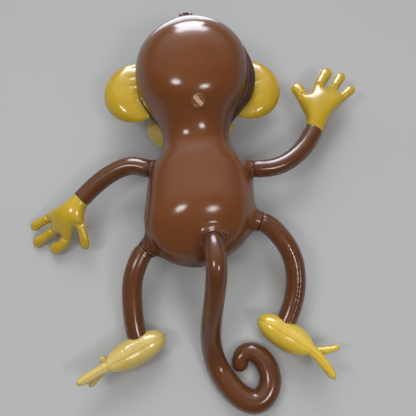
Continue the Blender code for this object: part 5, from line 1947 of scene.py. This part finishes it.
# %% Floor
FLOOR_HALF = 4.0
FLOOR_DROP = 0.0002
FLOOR_GREYS = ((0.35, 0.35, 0.345), (0.385, 0.385, 0.38))
floor_mesh = bpy.data.meshes.new("floor")
corners = [(x * FLOOR_HALF, y * FLOOR_HALF, 0.0) for x, y in ((-1, -1), (1, -1), (1, 1), (-1, 1))]
floor_mesh.from_pydata(corners, [], [(0, 1, 2, 3)])
floor = bpy.data.objects.new("floor", floor_mesh)
bpy.context.scene.collection.objects.link(floor)
floor_material = bpy.data.materials.new("pale floor")
floor_material.use_nodes = True
tree = floor_material.node_tree
shader = tree.nodes["Principled BSDF"]
cloud = noise(tree, tree.nodes.new("ShaderNodeTexCoord").outputs["Object"], 3.0, 3.0)
tree.links.new(mixed(tree, cloud, *FLOOR_GREYS), shader.inputs["Base Color"])
shader.inputs["Roughness"].default_value = 0.8
shader.inputs["Specular IOR Level"].default_value = 0.0
floor.data.materials.append(floor_material)
floor.location.z = -FLOOR_DROP
print("floor is", 2 * FLOOR_HALF, "m wide")

# %% The room
WALLS, LOW_WALLS, BRIGHT_CEILING = (0.07, 0.07, 0.075), (0.17, 0.17, 0.17), (1.05, 1.05, 1.08)


def room_world():
    """A soft room: dim walls, paler near the floor, and a ceiling that gets paler towards the window."""
    world = bpy.data.worlds.new("room")
    world.use_nodes = True
    tree = world.node_tree
    parts = tree.nodes.new("ShaderNodeSeparateXYZ")
    tree.links.new(tree.nodes.new("ShaderNodeTexCoord").outputs["Generated"], parts.inputs[0])
    towards = ramp(tree, parts.outputs["Y"], 0.0, 1.0, 0.12, 0.75)
    above = ramp(tree, parts.outputs["Z"], 0.0, 1.0, 0.20, 0.55)
    room = mixed(tree, ramp(tree, parts.outputs["Z"], 1.0, 0.0, 0.0, 0.40), WALLS, LOW_WALLS)
    both = joined(tree, "MULTIPLY", towards, above)
    tree.links.new(mixed(tree, both, room, BRIGHT_CEILING), tree.nodes["Background"].inputs["Color"])
    return world


bpy.context.scene.world = room_world()
print("the ceiling is", round(BRIGHT_CEILING[0] / WALLS[0]), "times as bright as the walls")

# %% Lamps, window and fills
def area_light(name, place, target, width, depth, power, colour=(1.0, 1.0, 1.0), shape="RECTANGLE"):
    """A flat lamp that faces a target."""
    data = bpy.data.lights.new(name, "AREA")
    data.shape = shape
    data.size, data.size_y = width, depth
    data.energy = power
    data.color = colour
    made = bpy.data.objects.new(name, data)
    made.location = place
    made.rotation_euler = (Vector(target) - Vector(place)).to_track_quat("-Z", "Y").to_euler()
    bpy.context.scene.collection.objects.link(made)
    return made


LAMP_WIDTH, LAMP_DEPTH, LAMP_POWER = 0.76, 0.50, 14
LAMP_PLACES = {"left": (-1.11, -0.17, 2.2), "right": (1.04, -0.80, 2.2)}
for side, place in LAMP_PLACES.items():
    under = (*place[:2], 0.0)
    area_light(f"lamp {side}", place, under, LAMP_WIDTH, LAMP_DEPTH, LAMP_POWER, shape="ELLIPSE")

DAYLIGHT = (0.93, 0.96, 1.0)
BLUE_DAY = (0.82, 0.89, 1.0)
WINDOW_Y = 2.7
PANE_DEPTH = 0.9
# How far to the side and up, the width, and the power for each metre of the width; a blind dims the top pane
PANES = {"upper": (0.05, 1.42, 2.0, 37), "lower": (-0.08, 0.52, 1.3, 37), "blind": (0.05, 2.32, 1.9, 5)}
for name, (aside, height, width, power) in PANES.items():
    place, target = (aside, WINDOW_Y, height), (aside, 0.0, height)
    pane = area_light(f"{name} pane", place, target, width, PANE_DEPTH, power * width, BLUE_DAY)
    pane.visible_diffuse = False
place, target = (-0.03, 0.67, 0.004), (-0.03, 0.67, 1.0)
glare = area_light("daylight on the floor", place, target, 0.28, 0.45, 1.3, BLUE_DAY)
glare.visible_diffuse = False
glare.visible_camera = False

middle_of_toy = (0.0, 0.05, 0.06)
sky_light = area_light("sky light", (0.05, 3.0, 3.2), middle_of_toy, 2.4, 2.0, 95, DAYLIGHT)
ceiling_fill = area_light("ceiling", (0.05, -0.3, 2.1), middle_of_toy, 1.5, 2.2, 20)
for fill in (sky_light, ceiling_fill):
    fill.visible_glossy = False
print("lights:", len(bpy.data.lights))

# %% Camera
CAMERA_PLACE = (0.0031, -0.1762, 0.904)
CAMERA_TILT = math.radians(11.0)
CAMERA_LEAN = math.radians(-3.28)
CAMERA_REACH = 560.0
PHOTO_WIDTH = 416.0
camera_data = bpy.data.cameras.new("camera")
camera_data.sensor_width = 36.0
camera_data.lens = 36.0 * CAMERA_REACH / PHOTO_WIDTH
camera = bpy.data.objects.new("camera", camera_data)
camera.location = Vector(CAMERA_PLACE) + Vector(SHIFT)
camera.rotation_euler = (CAMERA_TILT, 0.0, CAMERA_LEAN)
bpy.context.scene.collection.objects.link(camera)
bpy.context.scene.camera = camera
bpy.context.scene.view_settings.view_transform = "Standard"
print("camera at, mm:", [round(1000 * c) for c in camera.location])
